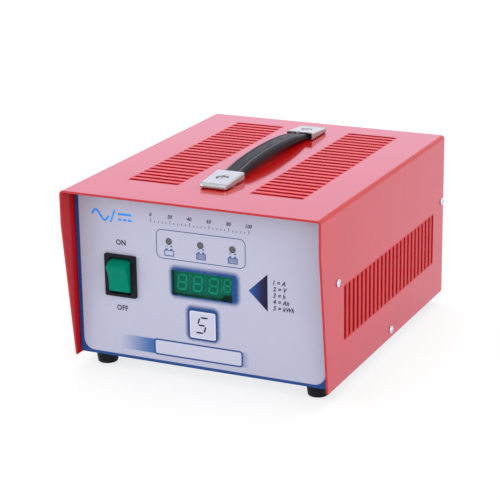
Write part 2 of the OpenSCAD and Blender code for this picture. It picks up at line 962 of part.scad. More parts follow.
module large_digits() {
    color("gray")
        for (i = [0:2])
            translate([digits_left_x + (i + 0.5) * digit_w, 0, display_height])
                digit(digit_w - 0.1, digit_h);
}

module small_digit() {
    color("gray")
        translate([
            digits_left_x + 3 * digit_w + small_digit_w / 2,
            0,
            display_height + (digit_h - small_digit_h) / 2
        ])
            digit(small_digit_w - 0.1, small_digit_h);
}

module status_lamps() {
    lamp_y = film_y + 0.1;
    dome_r = led_r * 2;
    lead_r = 0.3;
    color("gray")
        for (x = led_xs)
            translate([x, 0, led_height]) {
                intersection() {
                    extrude_y(lamp_y, lamp_y + led_len)
                        circle(led_r);
                    translate([0, lamp_y + dome_r, 0])
                        union() {
                            sphere(dome_r);
                            extrude_y(0, led_len)
                                circle(dome_r);
                        }
                }
                extrude_y(panel_back_y + 2, lamp_y + led_len)
                    circle(led_flange_r);
                for (side = [-1, 1])
                    extrude_y(lamp_y + led_len - through, board_face_y)
                        translate([side * led_r / 2, 0])
                            circle(lead_r);
            }
}

// Plan of a cap: its outer end at y = 0 and its mouth at y = len.
module cap_plan(len, outer_w, mouth_w, r) {
    polygon([
        [-mouth_w / 2, len],
        [-outer_w / 2, r],
        [-outer_w / 2 + r, 0],
        [outer_w / 2 - r, 0],
        [outer_w / 2, r],
        [mouth_w / 2, len]
    ]);
    for (x = [-1, 1])
        translate([x * (outer_w / 2 - r), r])
            circle(r);
}

// Solid under the sloping top of a cap, rounded along its sides.
module cap_top(inset) {
    edge_gap = 0.1;
    translate([0, 0, cap_outer_h - inset])
        rotate([cap_tilt, 0, 0])
            extrude_y(-cap_len, 2 * cap_len)
                mirror([0, 1])
                    tub(cap_mouth_w + edge_gap - 2 * inset, 2 * cap_mouth_h, cap_edge_r - inset);
}

// Solid of a cap, taken in by the inset on every side but its mouth.
module cap_form(inset) {
    end_rise = 0.1;
    intersection() {
        extrude_z(cap_lift - 2 * inset, cap_mouth_h + through)
            translate([0, inset])
                cap_plan(
                    cap_len + inset,
                    cap_outer_w - 2 * inset,
                    cap_mouth_w - 2 * inset,
                    cap_corner_r - inset
                );
        cap_top(inset);
        // Rounded outer end
        extrude_x(-cap_mouth_w, cap_mouth_w)
            translate([0, cap_outer_h + end_rise])
                rotate(cap_tilt)
                    translate([cap_len + inset, -inset])
                        mirror([0, 1])
                            tub(2 * cap_len, 2 * cap_mouth_h, cap_end_r - inset);
    }
}

// Pressed cap with its outer end at the origin and its mouth towards +Y.
module handle_cap() {
    color("gainsboro")
        difference() {
            union() {
                difference() {
                    cap_form(0);
                    cap_form(cap_t);
                }
                // Cup that the screw head sits in
                intersection() {
                    translate([0, handle_screw_in, tongue_t])
                        cylinder(r = cap_cup_r, h = cap_mouth_h);
                    cap_top(0);
                }
            }
            translate([0, handle_screw_in, cap_seat_z])
                cylinder(r = handle_head_r + screw_play, h = cap_mouth_h);
            translate([0, handle_screw_in, -through])
                cylinder(r = handle_screw_r + screw_play, h = cap_mouth_h);
            // Line pressed across the top
            translate([0, cap_line_in, cap_outer_h + cap_line_in * tan(cap_tilt)])
                rotate([0, 90, 0])
                    cylinder(r = cap_line_r, h = 2 * cap_mouth_w, center = true);
        }
}

module handle_cap_front() {
    translate([0, mid_y - handle_end_y, top_z])
        handle_cap();
}

module handle_cap_rear() {
    translate([0, mid_y + handle_end_y, top_z])
        mirror([0, 1, 0])
            handle_cap();
}

// Section of the strap: X is its thickness and Y its width.
module strap_section() {
    rounded_rect(strap_t, strap_w, strap_edge_r);
    for (side = [-1, 1])
        translate([strap_t / 2, side * (strap_w / 2 - strap_edge_r)])
            circle(strap_bead_r);
}

module handle_strap() {
    color("darkslategray")
        translate([0, mid_y, top_z])
            difference() {
                union() {
                    translate([0, 0, strap_rise - strap_arch_r])
                        rotate([0, -90, 0])
                            rotate([0, 0, -strap_angle / 2])
                                rotate_extrude(angle = strap_angle, $fn = 360)
                                    translate([strap_arch_r, 0])
                                        strap_section();
                    for (end = [0, 1])
                        mirror([0, end, 0])
                            translate([-tongue_w / 2, cap_mouth_y - 0.5, 0])
                                cube([tongue_w, tongue_end_y - cap_mouth_y + 0.5, tongue_t]);
                }
                // Upper face runs down to pass under each cap's mouth
                for (end = [0, 1])
                    mirror([0, end, 0])
                        translate([-strap_w, strap_taper_y, strap_taper_z])
                            rotate([-strap_taper_angle, 0, 0])
                                cube([2 * strap_w, cap_len, 2 * strap_t]);
                for (end = [-1, 1])
                    translate([0, end * handle_screw_y, -through])
                        linear_extrude(tongue_t + 2 * through)
                            rotate(90)
                                slot(4 * handle_screw_r, 2 * handle_screw_r + 0.4);
            }
}

module handle_screws() {
    color("silver")
        for (end = [-1, 1])
            translate([0, mid_y + end * handle_screw_y, top_z + cap_seat_z]) {
                cylinder(r = handle_head_r, h = handle_head_h);
                mirror([0, 0, 1])
                    cylinder(r = handle_screw_r, h = cap_seat_z + sheet_t + handle_nut_h + 1);
            }
}

module handle_nuts() {
    color("silver")
        for (end = [-1, 1])
            translate([0, mid_y + end * handle_screw_y, inner_top_z])
                nut(3.2 * handle_screw_r, handle_screw_r + screw_play, handle_nut_h);
}

module cover_screws() {
    color("silver")
        both_sides()
            for (place = cover_screw_places)
                translate([cover_w / 2, place[0], place[1]])
                    rotate([0, 90, 0])
                        pan_screw(cover_screw_r, cover_screw_len, cover_head_r, cover_head_h);
}

// Rubber foot with its screw head sunk in a recess from below.
module foot(side, y) {
    edge_x = foot_low_r - foot_edge_r;
    color("black")
        translate([side * foot_x, y, 0])
            difference() {
                rotate_extrude() {
                    polygon([
                        [0, 0],
                        [edge_x, 0],
                        [foot_low_r, foot_edge_r],
                        [foot_top_r, foot_h],
                        [0, foot_h]
                    ]);
                    translate([edge_x, foot_edge_r])
                        circle(foot_edge_r);
                }
                translate([0, 0, -through])
                    cylinder(r = foot_recess_r, h = foot_h - foot_web + through);
                cylinder(r = foot_screw_r + screw_play, h = foot_h + through);
            }
}

module foot_screws() {
    color("silver")
        for (x = [-1, 1], y = [foot_front_y, foot_rear_y])
            translate([x * foot_x, y, foot_h - foot_web])
                mirror([0, 0, 1])
                    pan_screw(foot_screw_r, foot_web + tray_t + 5, foot_head_r, foot_head_h);
}

module foot_nuts() {
    nut_h = 3.2;
    color("silver")
        for (x = [-1, 1], y = [foot_front_y, foot_rear_y])
            translate([x * foot_x, y, floor_z + nut_h])
                nut(7, foot_screw_r + screw_play, nut_h);
}

module board_hole_places() {
    for (x = [-1, 1], y = [-1, 1])
        translate([x * board_hole_x, board_mid_y + y * board_hole_y])
            children();
}

// Draws its children on the main board, at a place measured from its middle.
module on_board(place) {
    translate([place[0], board_mid_y + place[1], board_top_z])
        children();
}

module main_board() {
    color("darkolivegreen")
        extrude_z(board_z, board_top_z)
            difference() {
                translate([0, board_mid_y])
                    rounded_rect(board_w, board_d, 2);
                board_hole_places()
                    circle(small_screw_r + screw_play);
            }
}

module board_spacers() {
    color("gold")
        extrude_z(floor_z, board_z)
            board_hole_places()
                difference() {
                    hexagon(spacer_flats);
                    circle(small_screw_r + screw_play);
                }
}

module board_screws() {
    color("silver")
        translate([0, 0, board_top_z])
            board_hole_places()
                pan_screw(small_screw_r, board_t + screw_grip, small_head_r, small_head_h);
}

// Ferrite core: an outer frame with a round middle leg.
module transformer_core() {
    window_w = core_w - 2 * core_yoke;
    window_h = core_h - 2 * core_yoke;
    color("dimgray")
        on_board(transformer_at)
            translate([0, 0, core_h / 2]) {
                difference() {
                    cube([core_w, core_d, core_h], center = true);
                    cube([window_w, core_d + 2 * through, window_h], center = true);
                }
                cylinder(r = core_leg_r, h = window_h + through, center = true);
            }
}

// Bobbin on the middle leg: a tube with a flange at each end.
module transformer_bobbin() {
    play = 0.1;
    tube_h = core_h - 2 * core_yoke - 2 * play;
    color("saddlebrown")
        on_board(transformer_at)
            translate([0, 0, core_yoke + play])
                difference() {
                    union() {
                        cylinder(r = core_leg_r + play + bobbin_t, h = tube_h);
                        for (z = [0, tube_h - bobbin_t])
                            translate([0, 0, z])
                                cylinder(r = winding_r + 0.6, h = bobbin_t);
                    }
                    translate([0, 0, -through])
                        cylinder(r = core_leg_r + play, h = tube_h + 2 * through);
                }
}

module transformer_winding() {
    play = 0.1;
    low_z = core_yoke + play + bobbin_t;
    coil_h = core_h - 2 * low_z;
    color("orange")
        on_board(transformer_at)
            translate([0, 0, low_z])
                difference() {
                    cylinder(r = winding_r, h = coil_h);
                    translate([0, 0, -through])
                        cylinder(r = core_leg_r + 2 * play + bobbin_t, h = coil_h + 2 * through);
                }
}

module choke_core() {
    color("gold")
        on_board(choke_at)
            translate([0, 0, ring_winding_t])
                difference() {
                    cylinder(r = ring_r, h = ring_h);
                    translate([0, 0, -through])
                        cylinder(r = ring_bore_r, h = ring_h + 2 * through);
                }
}

// Winding on the ring core, open over a short arc where its ends come out.
module choke_winding() {
    play = 0.1;
    ring_w = ring_r - ring_bore_r;
    open_angle = 30;
    color("orange")
        on_board(choke_at)
            rotate([0, 0, open_angle / 2])
                rotate_extrude(angle = 360 - open_angle)
                    translate([(ring_r + ring_bore_r) / 2, ring_winding_t + ring_h / 2])
                        difference() {
                            rounded_rect(ring_w + 2 * ring_winding_t, ring_h + 2 * ring_winding_t, ring_winding_t);
                            square([ring_w + 2 * play, ring_h + 2 * play], center = true);
                        }
}

module filter_choke_core() {
    color("dimgray")
        on_board(filter_choke_at)
            translate([0, 0, filter_core_size[2] / 2])
                difference() {
                    cube(filter_core_size, center = true);
                    cube([
                        filter_core_size[0] - 2 * filter_core_leg,
                        filter_core_size[1] + 2 * through,
                        filter_core_size[2] - 2 * filter_core_leg
                    ], center = true);
                }
}

module filter_choke_windings() {
    play = 0.1;
    coil_h = filter_core_size[2] - 2 * filter_core_leg - 2 * play;
    coil_x = filter_core_size[0] / 2 - filter_core_leg / 2;
    color("orange")
        on_board(filter_choke_at)
            both_sides()
                translate([coil_x, 0, filter_core_leg + play])
                    linear_extrude(coil_h)
                        difference() {
                            rounded_rect(
                                filter_core_leg + 2 * filter_coil_t,
                                filter_core_size[1] + 2 * filter_coil_t,
                                filter_coil_t
                            );
                            square([filter_core_leg + 2 * play, filter_core_size[1] + 2 * play], center = true);
                        }
}

// Capacitor can with a groove near its foot.
module can(r, h) {
    groove_z = 4;
    groove_r = 0.8;
    edge_r = 1;
    rotate_extrude()
        difference() {
            union() {
                square([r - edge_r, h]);
                square([r, h - edge_r]);
                translate([r - edge_r, h - edge_r])
                    circle(edge_r);
            }
            translate([r + groove_r / 2, groove_z])
                circle(groove_r);
        }
}

module main_capacitors() {
    color("midnightblue")
        for (place = main_cap_places)
            on_board(place)
                can(bulk_cap_r, bulk_cap_h);
}

module output_capacitors() {
    color("darkslateblue")
        for (place = output_cap_places)
            on_board(place)
                can(output_cap_r, output_cap_h);
}

module filter_capacitors() {
    color("goldenrod")
        for (place = filter_cap_places)
            on_board(place)
                linear_extrude(filter_cap_size[2])
                    rounded_rect(filter_cap_size[0], filter_cap_size[1], 0.8);
}

// Upright heatsink with level fins on the side away from its chips.
module heatsink() {
    on_board([sink_face_x, 0])
        translate([0, -board_mid_y, 0])
            extrude_y(board_mid_y - sink_len / 2, board_mid_y + sink_len / 2) {
                square([sink_plate, sink_h]);
                for (i = [0 : fin_count - 1])
                    translate([sink_plate - 0.5, 6 + i * (sink_h - 6 - fin_t) / (fin_count - 1)])
                        square([fin_len + 0.5, fin_t]);
            }
}

module secondary_heatsink() {
    color("silver")
        heatsink();
}

module primary_heatsink() {
    color("silver")
        mirror([1, 0, 0])
            heatsink();
}

// Row of power chips standing against a heatsink's face.
module chips(count, pitch) {
    leg_w = 1.2;
    chip_z = board_top_z + 14;
    for (i = [0 : count - 1])
        translate([sink_face_x, board_mid_y + (i - (count - 1) / 2) * pitch, 0]) {
            translate([-chip_t, -chip_size[0] / 2, chip_z])
                cube([chip_t, chip_size[0], chip_size[1]]);
            for (leg = [-1:1])
                translate([-chip_leg, leg * 5 - leg_w / 2, board_top_z])
                    cube([0.6, leg_w, chip_z - board_top_z + 0.5]);
        }
}

module rectifier_diodes() {
    color("dimgray")
        chips(3, diode_pitch);
}

module power_transistors() {
    color("dimgray")
        mirror([1, 0, 0])
            chips(4, transistor_pitch);
}

module relay() {
    color("midnightblue")
        on_board(relay_at)
            linear_extrude(relay_size[2])
                rounded_rect(relay_size[0], relay_size[1], 0.6);
}

module mains_fuse() {
    color("lightgray")
        on_board(fuse_at)
            translate([-fuse_len / 2, 0, fuse_lift])
                rotate([0, 90, 0]) {
                    cylinder(r = fuse_r - 0.2, h = fuse_len);
                    for (x = [0, fuse_len - fuse_cap_len])
                        translate([0, 0, x])
                            cylinder(r = fuse_r, h = fuse_cap_len);
                }
}

// Spring clips that hold the fuse at its end caps.
module fuse_clips() {
    clip_w = 4;
    clip_t = 0.6;
    color("gold")
        on_board(fuse_at)
            for (x = [-1, 1])
                translate([x * (fuse_len / 2 - fuse_cap_len / 2) - clip_w / 2, 0, 0])
                    extrude_x(0, clip_w)
                        difference() {
                            union() {
                                translate([0, fuse_lift])
                                    circle(fuse_r + 0.05 + clip_t);
                                translate([-fuse_r - clip_t, 0])
                                    square([2 * (fuse_r + clip_t), fuse_lift - fuse_r + 1]);
                            }
                            translate([0, fuse_lift])
                                circle(fuse_r + 0.05);
                            translate([-fuse_r, fuse_lift + fuse_r / 2])
                                square([2 * fuse_r, 2 * fuse_r]);
                        }
}

// Two-way terminal block for the output lead.
module output_terminals() {
    color("darkgreen")
        on_board(terminals_at)
            difference() {
                translate([-terminals_size[0] / 2, -terminals_size[1] / 2, 0])
                    cube(terminals_size);
                for (x = [-1, 1]) {
                    translate([x * terminals_size[0] / 4, 0, 6])
                        rotate([-90, 0, 0])
                            cylinder(r = 3, h = terminals_size[1]);
                    translate([x * terminals_size[0] / 4, -1, 10])
                        cylinder(r = 2.6, h = terminals_size[2]);
                }
            }
}

// Flat cable from the display board down and back to the main board.
module ribbon_cable() {
    ribbon_w = 24;
    ribbon_t = 1;
    back_y = board_face_y + board_t;
    drop_y = back_y + 7;
    high_z = display_board_z - display_board_h / 4;
    land_y = panel_y + board_start + 1;
    color("lightgray")
        extrude_x(display_x - ribbon_w / 2, display_x + ribbon_w / 2)
            polygon([
                [back_y, high_z],
                [back_y, high_z - ribbon_t],
                [drop_y - ribbon_t, high_z - ribbon_t],
                [drop_y - ribbon_t, board_top_z + 7],
                [land_y, board_top_z + 7],
                [land_y, board_top_z],
                [land_y + 4, board_top_z],
                [land_y + 4, board_top_z + 7 + ribbon_t],
                [drop_y, board_top_z + 7 + ribbon_t],
                [drop_y, high_z]
            ]);
}

// Opening of the inlet: a rectangle with its two upper corners cut.
module inlet_opening() {
    half_w = inlet_cavity[0] / 2;
    half_h = inlet_cavity[1] / 2;
    polygon([
        [-half_w, -half_h],
        [half_w, -half_h],
        [half_w, half_h - inlet_chamfer],
        [half_w - inlet_chamfer, half_h],
        [inlet_chamfer - half_w, half_h],
        [-half_w, half_h - inlet_chamfer]
    ]);
}

module inlet_body() {
    face_y = rear_y + inlet_flange_t;
    color("dimgray")
        translate([-inlet_x, 0, inlet_height])
            difference() {
                union() {
                    extrude_y(rear_y, face_y)
                        rounded_rect(inlet_flange_w, inlet_flange_h, 5);
                    extrude_y(rear_y - inlet_body_d, rear_y)
                        square([inlet_body_w, inlet_body_h], center = true);
                }
                extrude_y(face_y - inlet_cavity_d, face_y + through)
                    inlet_opening();
                extrude_y(rear_y - inlet_body_d - through, rear_y)
                    for (place = inlet_pin_places)
                        translate(place)
                            square(inlet_pin, center = true);
                extrude_y(rear_y - through, face_y + through)
                    for (x = [-1, 1])
                        translate([x * inlet_screw_pitch / 2, 0])
                            circle(small_screw_r + screw_play);
            }
}

module inlet_pins() {
    color("gold")
        translate([-inlet_x, 0, inlet_height])
            extrude_y(rear_y - inlet_body_d - inlet_tab_len, rear_y + inlet_flange_t - inlet_pin_sink)
                for (place = inlet_pin_places)
                    translate(place)
                        square(inlet_pin, center = true);
}

module inlet_screws() {
    color("silver")
        for (x = [-1, 1])
            translate([-inlet_x + x * inlet_screw_pitch / 2, rear_y + inlet_flange_t, inlet_height])
                rotate([-90, 0, 0])
                    pan_screw(small_screw_r, inlet_flange_t + tray_t + screw_grip, small_head_r, small_head_h);
}

module gland_body() {
    color("dimgray")
        translate([-gland_x, 0, inlet_height])
            difference() {
                union() {
                    extrude_y(rear_inner_y - gland_nut_len - 2, rear_y)
                        circle(gland_thread_r);
                    extrude_y(rear_y, rear_y + gland_hex_len)
                        hexagon(gland_flats);
                    extrude_y(rear_y + gland_hex_len, rear_y + gland_hex_len + gland_collar_len)
                        circle(gland_collar_r);
                }
                extrude_y(rear_inner_y - gland_nut_len - 2 - through, rear_y + gland_reach)
                    circle(gland_seal_r + screw_play);
            }
}

// Domed nut that closes on the seal.
module gland_dome() {
    grip_len = 8;
    nose_len = gland_dome_len - grip_len;
    nose_r = gland_bore_r + 2.6;
    shoulder_r = gland_flats / 2;
    start_y = rear_y + gland_hex_len;
    color("dimgray")
        translate([-gland_x, 0, inlet_height])
            difference() {
                union() {
                    extrude_y(start_y, start_y + grip_len)
                        hexagon(gland_flats);
                    translate([0, start_y + grip_len, 0])
                        rotate([-90, 0, 0])
                            cylinder(r1 = shoulder_r, r2 = nose_r, h = nose_len);
                }
                extrude_y(start_y - through, start_y + gland_collar_len + 0.2)
                    circle(gland_collar_r + screw_play);
                extrude_y(start_y, rear_y + gland_reach - gland_end_t)
                    circle(gland_seal_r + screw_play);
                extrude_y(start_y, rear_y + gland_reach + through)
                    circle(gland_bore_r + 0.4);
            }
}

module gland_seal() {
    end_y = rear_y + gland_reach - gland_end_t;
    color("black")
        extrude_y(end_y - gland_seal_len, end_y)
            translate([-gland_x, inlet_height])
                difference() {
                    circle(gland_seal_r);
                    circle(gland_bore_r);
                }
}

module gland_locknut() {
    color("dimgray")
        extrude_y(rear_inner_y - gland_nut_len, rear_inner_y)
            translate([-gland_x, inlet_height])
                difference() {
                    hexagon(gland_flats + 2);
                    circle(gland_thread_r + screw_play);
                }
}

// Frame of the fan: two square flanges, a throat between them and a motor mount on three arms.
module fan_frame() {
    color("dimgray")
        translate([fan_x, 0, fan_height]) {
            difference() {
                union() {
                    for (y = [fan_front_y, rear_inner_y - fan_flange])
                        extrude_y(y, y + fan_flange)
                            rounded_rect(fan_w, fan_w, 4);
                    extrude_y(fan_front_y, rear_inner_y)
                        intersection() {
                            circle(fan_throat_r + 1.5);
                            square([fan_w, fan_w], center = true);
                        }
                }
                extrude_y(fan_front_y - through, rear_inner_y + through) {
                    circle(fan_throat_r);
                    fan_hole_places()
                        circle(fan_hole_r);
                }
            }
            extrude_y(rear_inner_y - fan_base_t, rear_inner_y)
                difference() {
                    union() {
                        circle(fan_hub_r);
                        for (turn = [30, 150, 270])
                            rotate(turn)
                                translate([fan_hub_r - 1, -2])
                                    square([fan_throat_r - fan_hub_r + 1.8, 4]);
                    }
                    circle(fan_shaft_r + fan_shaft_play);
                }
            extrude_y(fan_front_y + 8, rear_inner_y - fan_base_t)
                difference() {
                    circle(fan_tube_r);
                    circle(fan_shaft_r + fan_shaft_play);
                }
        }
}

// Impeller: a cup-shaped hub on its shaft, with twisted blades.
module fan_rotor() {
    cup_y = fan_front_y + 2;
    cup_len = rear_inner_y - fan_base_t - fan_axial_gap - cup_y;
    cup_t = 1.8;
    blade_len = cup_len - 1;
    blade_t = 1.5;
    color("black")
        translate([fan_x, cup_y, fan_height])
            rotate([-90, 0, 0]) {
                difference() {
                    cylinder(r = fan_hub_r, h = cup_len);
                    translate([0, 0, cup_t])
                        cylinder(r = fan_hub_r - cup_t, h = cup_len);
                }
                cylinder(r = fan_shaft_r, h = cup_len + fan_axial_gap + fan_base_t - 1);
                difference() {
                    linear_extrude(blade_len, twist = fan_twist, slices = 6, $fn = 8)
                        for (i = [0 : fan_blades - 1])
                            rotate(i * 360 / fan_blades)
                                translate([fan_hub_r - 0.8, -blade_t / 2])
                                    square([fan_blade_r - fan_hub_r + 0.8, blade_t]);
                    translate([0, 0, -through])
                        cylinder(r = fan_hub_r - 0.5, h = blade_len + 2 * through);
                }
            }
}

module fan_screws() {
    color("silver")
        translate([fan_x, rear_y, fan_height])
            rotate([-90, 0, 0])
                for (x = [-1, 1], z = [-1, 1])
                    translate([x * fan_hole_pitch / 2, z * fan_hole_pitch / 2, 0])
                        pan_screw(fan_hole_r - screw_play, tray_t + 10, 3.8, 2.4);
}

cover();
chassis();
front_overlay();
display_filter();
switch_housing();
rocker();
switch_terminals();
select_key();
select_switch();
display_board();
display_spacers();
large_digits();
small_digit();
status_lamps();
handle_strap();
handle_cap_front();
handle_cap_rear();
handle_screws();
handle_nuts();
cover_screws();
foot(-1, foot_front_y);  // foot_front_left
foot(1, foot_front_y);  // foot_front_right
foot(-1, foot_rear_y);  // foot_rear_left
foot(1, foot_rear_y);  // foot_rear_right
foot_screws();
foot_nuts();
main_board();
board_spacers();
board_screws();
transformer_core();
transformer_bobbin();
transformer_winding();
choke_core();
choke_winding();
filter_choke_core();
filter_choke_windings();
main_capacitors();
output_capacitors();
filter_capacitors();
primary_heatsink();
secondary_heatsink();
power_transistors();
rectifier_diodes();
relay();
mains_fuse();
fuse_clips();
output_terminals();
ribbon_cable();
inlet_body();
inlet_pins();
inlet_screws();
gland_body();
gland_dome();
gland_seal();
gland_locknut();
fan_frame();
fan_rotor();
fan_screws();
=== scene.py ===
import json
import math

import bmesh
import bpy
from mathutils import Matrix, Vector


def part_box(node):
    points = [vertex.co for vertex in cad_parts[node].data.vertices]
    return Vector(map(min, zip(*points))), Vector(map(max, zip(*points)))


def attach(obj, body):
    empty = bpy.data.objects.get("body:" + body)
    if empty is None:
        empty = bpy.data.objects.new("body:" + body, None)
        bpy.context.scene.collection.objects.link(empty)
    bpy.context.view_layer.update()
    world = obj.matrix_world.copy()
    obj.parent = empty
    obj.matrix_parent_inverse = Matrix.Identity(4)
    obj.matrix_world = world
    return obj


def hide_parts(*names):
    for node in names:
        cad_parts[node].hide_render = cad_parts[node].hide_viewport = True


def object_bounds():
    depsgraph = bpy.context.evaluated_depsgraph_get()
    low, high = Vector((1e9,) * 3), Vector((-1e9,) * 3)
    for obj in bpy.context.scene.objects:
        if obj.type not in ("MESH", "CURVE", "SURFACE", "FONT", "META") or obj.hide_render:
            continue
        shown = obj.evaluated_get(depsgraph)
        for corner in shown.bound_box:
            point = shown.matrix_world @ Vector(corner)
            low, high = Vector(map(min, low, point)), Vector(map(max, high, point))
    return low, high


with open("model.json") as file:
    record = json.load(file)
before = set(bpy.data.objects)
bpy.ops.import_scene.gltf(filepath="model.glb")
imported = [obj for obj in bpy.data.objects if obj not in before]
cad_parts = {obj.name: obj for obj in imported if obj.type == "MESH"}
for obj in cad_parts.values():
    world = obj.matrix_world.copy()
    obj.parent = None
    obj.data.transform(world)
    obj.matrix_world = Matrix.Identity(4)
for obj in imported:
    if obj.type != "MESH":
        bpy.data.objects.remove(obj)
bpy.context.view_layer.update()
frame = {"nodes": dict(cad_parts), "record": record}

mm = 0.001
scene = bpy.context.scene
scene.view_settings.view_transform = "Standard"
print("case loaded, nodes:", len(frame["nodes"]))


def linked(name, data):
    thing = bpy.data.objects.new(name, data)
    scene.collection.objects.link(thing)
    return thing


# camera, as the photo was taken
shot = {
    "turn": 25.156,      # degrees round the case from straight in front
    "height": 17.83,     # degrees above the horizon
    "roll": -0.824,
    "lens": 127.2,       # for a sensor as wide as the next value
    "sensor": 36,
    "distance": 1262.6,  # millimetres from the foot of the front panel
    "aside": 42.94,      # from that foot to the middle of the picture
    "rise": 92.93,
}


def makeCamera():
    turn, height, roll = (math.radians(shot[key]) for key in ("turn", "height", "roll"))
    flat = math.cos(height)
    back = Vector((math.sin(turn) * flat, -math.cos(turn) * flat, math.sin(height)))
    right = Vector((math.cos(turn), math.sin(turn), 0))
    up = back.cross(right)
    tiltedRight = math.cos(roll) * right + math.sin(roll) * up
    tiltedUp = math.cos(roll) * up - math.sin(roll) * right
    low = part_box("cover")[0]
    foot = Vector((0, low.y, low.z))
    offset = back * shot["distance"] + tiltedRight * shot["aside"] + tiltedUp * shot["rise"]
    data = bpy.data.cameras.new("photo_camera")
    data.lens = shot["lens"]
    data.sensor_width = shot["sensor"]
    camera = linked("photo_camera", data)
    pose = Matrix((tiltedRight, tiltedUp, back)).transposed().to_4x4()
    camera.matrix_world = Matrix.Translation(foot + offset * mm) @ pose
    scene.camera = camera
    print("camera placed")


makeCamera()


# shader tree helpers
def addNode(tree, kind, inputs=None, **settings):
    node = tree.nodes.new("ShaderNode" + kind)
    for name, value in settings.items():
        setattr(node, name, value)
    for socket, value in (inputs or {}).items():
        if isinstance(value, bpy.types.NodeSocket):
            tree.links.new(value, node.inputs[socket])
        else:
            node.inputs[socket].default_value = value
    return node


def maths(tree, operation, a, b=0.0, clamp=False):
    return addNode(tree, "Math", {0: a, 1: b}, operation=operation, use_clamp=clamp).outputs[0]


def plus(tree, a, b):
    return maths(tree, "ADD", a, b)


def minus(tree, a, b):
    return maths(tree, "SUBTRACT", a, b)


def times(tree, a, b):
    return maths(tree, "MULTIPLY", a, b)


def divided(tree, a, b):
    return maths(tree, "DIVIDE", a, b)


# how far one value lies from another
def apart(tree, a, b):
    return maths(tree, "ABSOLUTE", minus(tree, a, b))


def spread(tree, value, low, high, toLow=0.0, toHigh=1.0):
    inputs = {"Value": value, "From Min": low, "From Max": high, "To Min": toLow, "To Max": toHigh}
    return addNode(tree, "MapRange", inputs).outputs[0]


def mixColors(tree, factor, a, b):
    a, b = (c if isinstance(c, bpy.types.NodeSocket) else (*c, 1) for c in (a, b))
    return addNode(tree, "Mix", {0: factor, 6: a, 7: b}, data_type="RGBA").outputs[2]


def ramp(tree, factor, *stops):
    node = addNode(tree, "ValToRGB", {0: factor})
    elements = node.color_ramp.elements
    elements[0].position, elements[-1].position = stops[0][0], stops[-1][0]
    for place, color in stops[1:-1]:
        elements.new(place)
    for element, (place, color) in zip(elements, stops):
        element.color = (*color, 1)
    return node.outputs[0]


# one colour, darker where the factor is low and lighter where it is high
def toned(tree, factor, color, amount, low=0.0, high=1.0):
    darker = tuple(c * (1 - amount) for c in color)
    lighter = tuple(min(c * (1 + amount), 1) for c in color)
    return ramp(tree, factor, (low, darker), (high, lighter))


def noise(tree, where, size, detail=2.0):
    scale = 1 / (size * mm)  # size of the clouds in millimetres
    return addNode(tree, "TexNoise", {"Vector": where, "Scale": scale, "Detail": detail}).outputs[0]


# noise whose usual values are spread from one number to another
def clouds(tree, where, size, low=0.0, high=1.0, detail=2.0):
    return spread(tree, noise(tree, where, size, detail), 0.3, 0.7, low, high)


def stretched(tree, where, x, y, z):
    return addNode(tree, "Mapping", {"Vector": where, "Scale": (x, y, z)}).outputs[0]


def axesOf(tree, where):
    return addNode(tree, "SeparateXYZ", {0: where}).outputs


def bump(tree, height, depth, under=None):
    inputs = {"Height": height, "Distance": depth * mm, "Strength": 1.0}
    if under is not None:
        inputs["Normal"] = under
    return addNode(tree, "Bump", inputs).outputs[0]


def softEdges(tree, radius):
    return addNode(tree, "Bevel", {"Radius": radius * mm}, samples=4).outputs[0]


def newFinish(name, color, roughness, metallic=0.0, shine=0.5, more=None):
    finish = bpy.data.materials.new(name)
    finish.use_nodes = True
    tree = finish.node_tree
    shader = tree.nodes["Principled BSDF"]
    shader.inputs["Base Color"].default_value = (*color, 1)
    shader.inputs["Roughness"].default_value = roughness
    shader.inputs["Metallic"].default_value = metallic
    shader.inputs["Specular IOR Level"].default_value = shine
    for socket, value in (more or {}).items():
        shader.inputs[socket].default_value = value
    return finish, tree, addNode(tree, "TexCoord").outputs["Object"]


# joins what varies over the surface to the shader's sockets
def dressed(finish, **looks):
    tree = finish.node_tree
    sockets = {"color": "Base Color", "roughness": "Roughness", "metal": "Metallic",
               "normal": "Normal", "coat": "Coat Weight", "coatNormal": "Coat Normal"}
    for look, output in looks.items():
        tree.links.new(output, tree.nodes["Principled BSDF"].inputs[sockets[look]])
    return finish


# finishes
paint = {
    "color": (0.47, 0.0045, 0.004),
    "thin": (0.445, 0.004, 0.0035),  # where the coat is a little thinner
    "strip": (0.66, 0.03, 0.027),    # painted light, standing in for light from the slots: brighter between the top slots
    "dull": 0.75,                    # how much gloss is lost where the paint rolls into a slot
    "dullBetween": 0.45,             # and on the strips between the slots
    "slotPitch": 8.0,
    "slotFirst": -93.1,              # middle of the first slot in the sides
    "slotLast": 90.9,
    "topShift": 2.2,                 # the slots in the top lie this much further back
    "topSlots": (49.0, 20.0),        # middle of a row across, half its width
    "sideSlots": (60.6, 20.0),       # height of the row's middle, half its height
    "wall": 2.0,                     # depth from the outside that counts as top or side
    "edge": 1.1,                     # how far the coat rounds over a cut edge
    "gloss": 0.11,                   # roughness of the clear top of the paint
    "peel": 1.5,                     # size of the orange peel
    "peelDepth": 0.004,
}


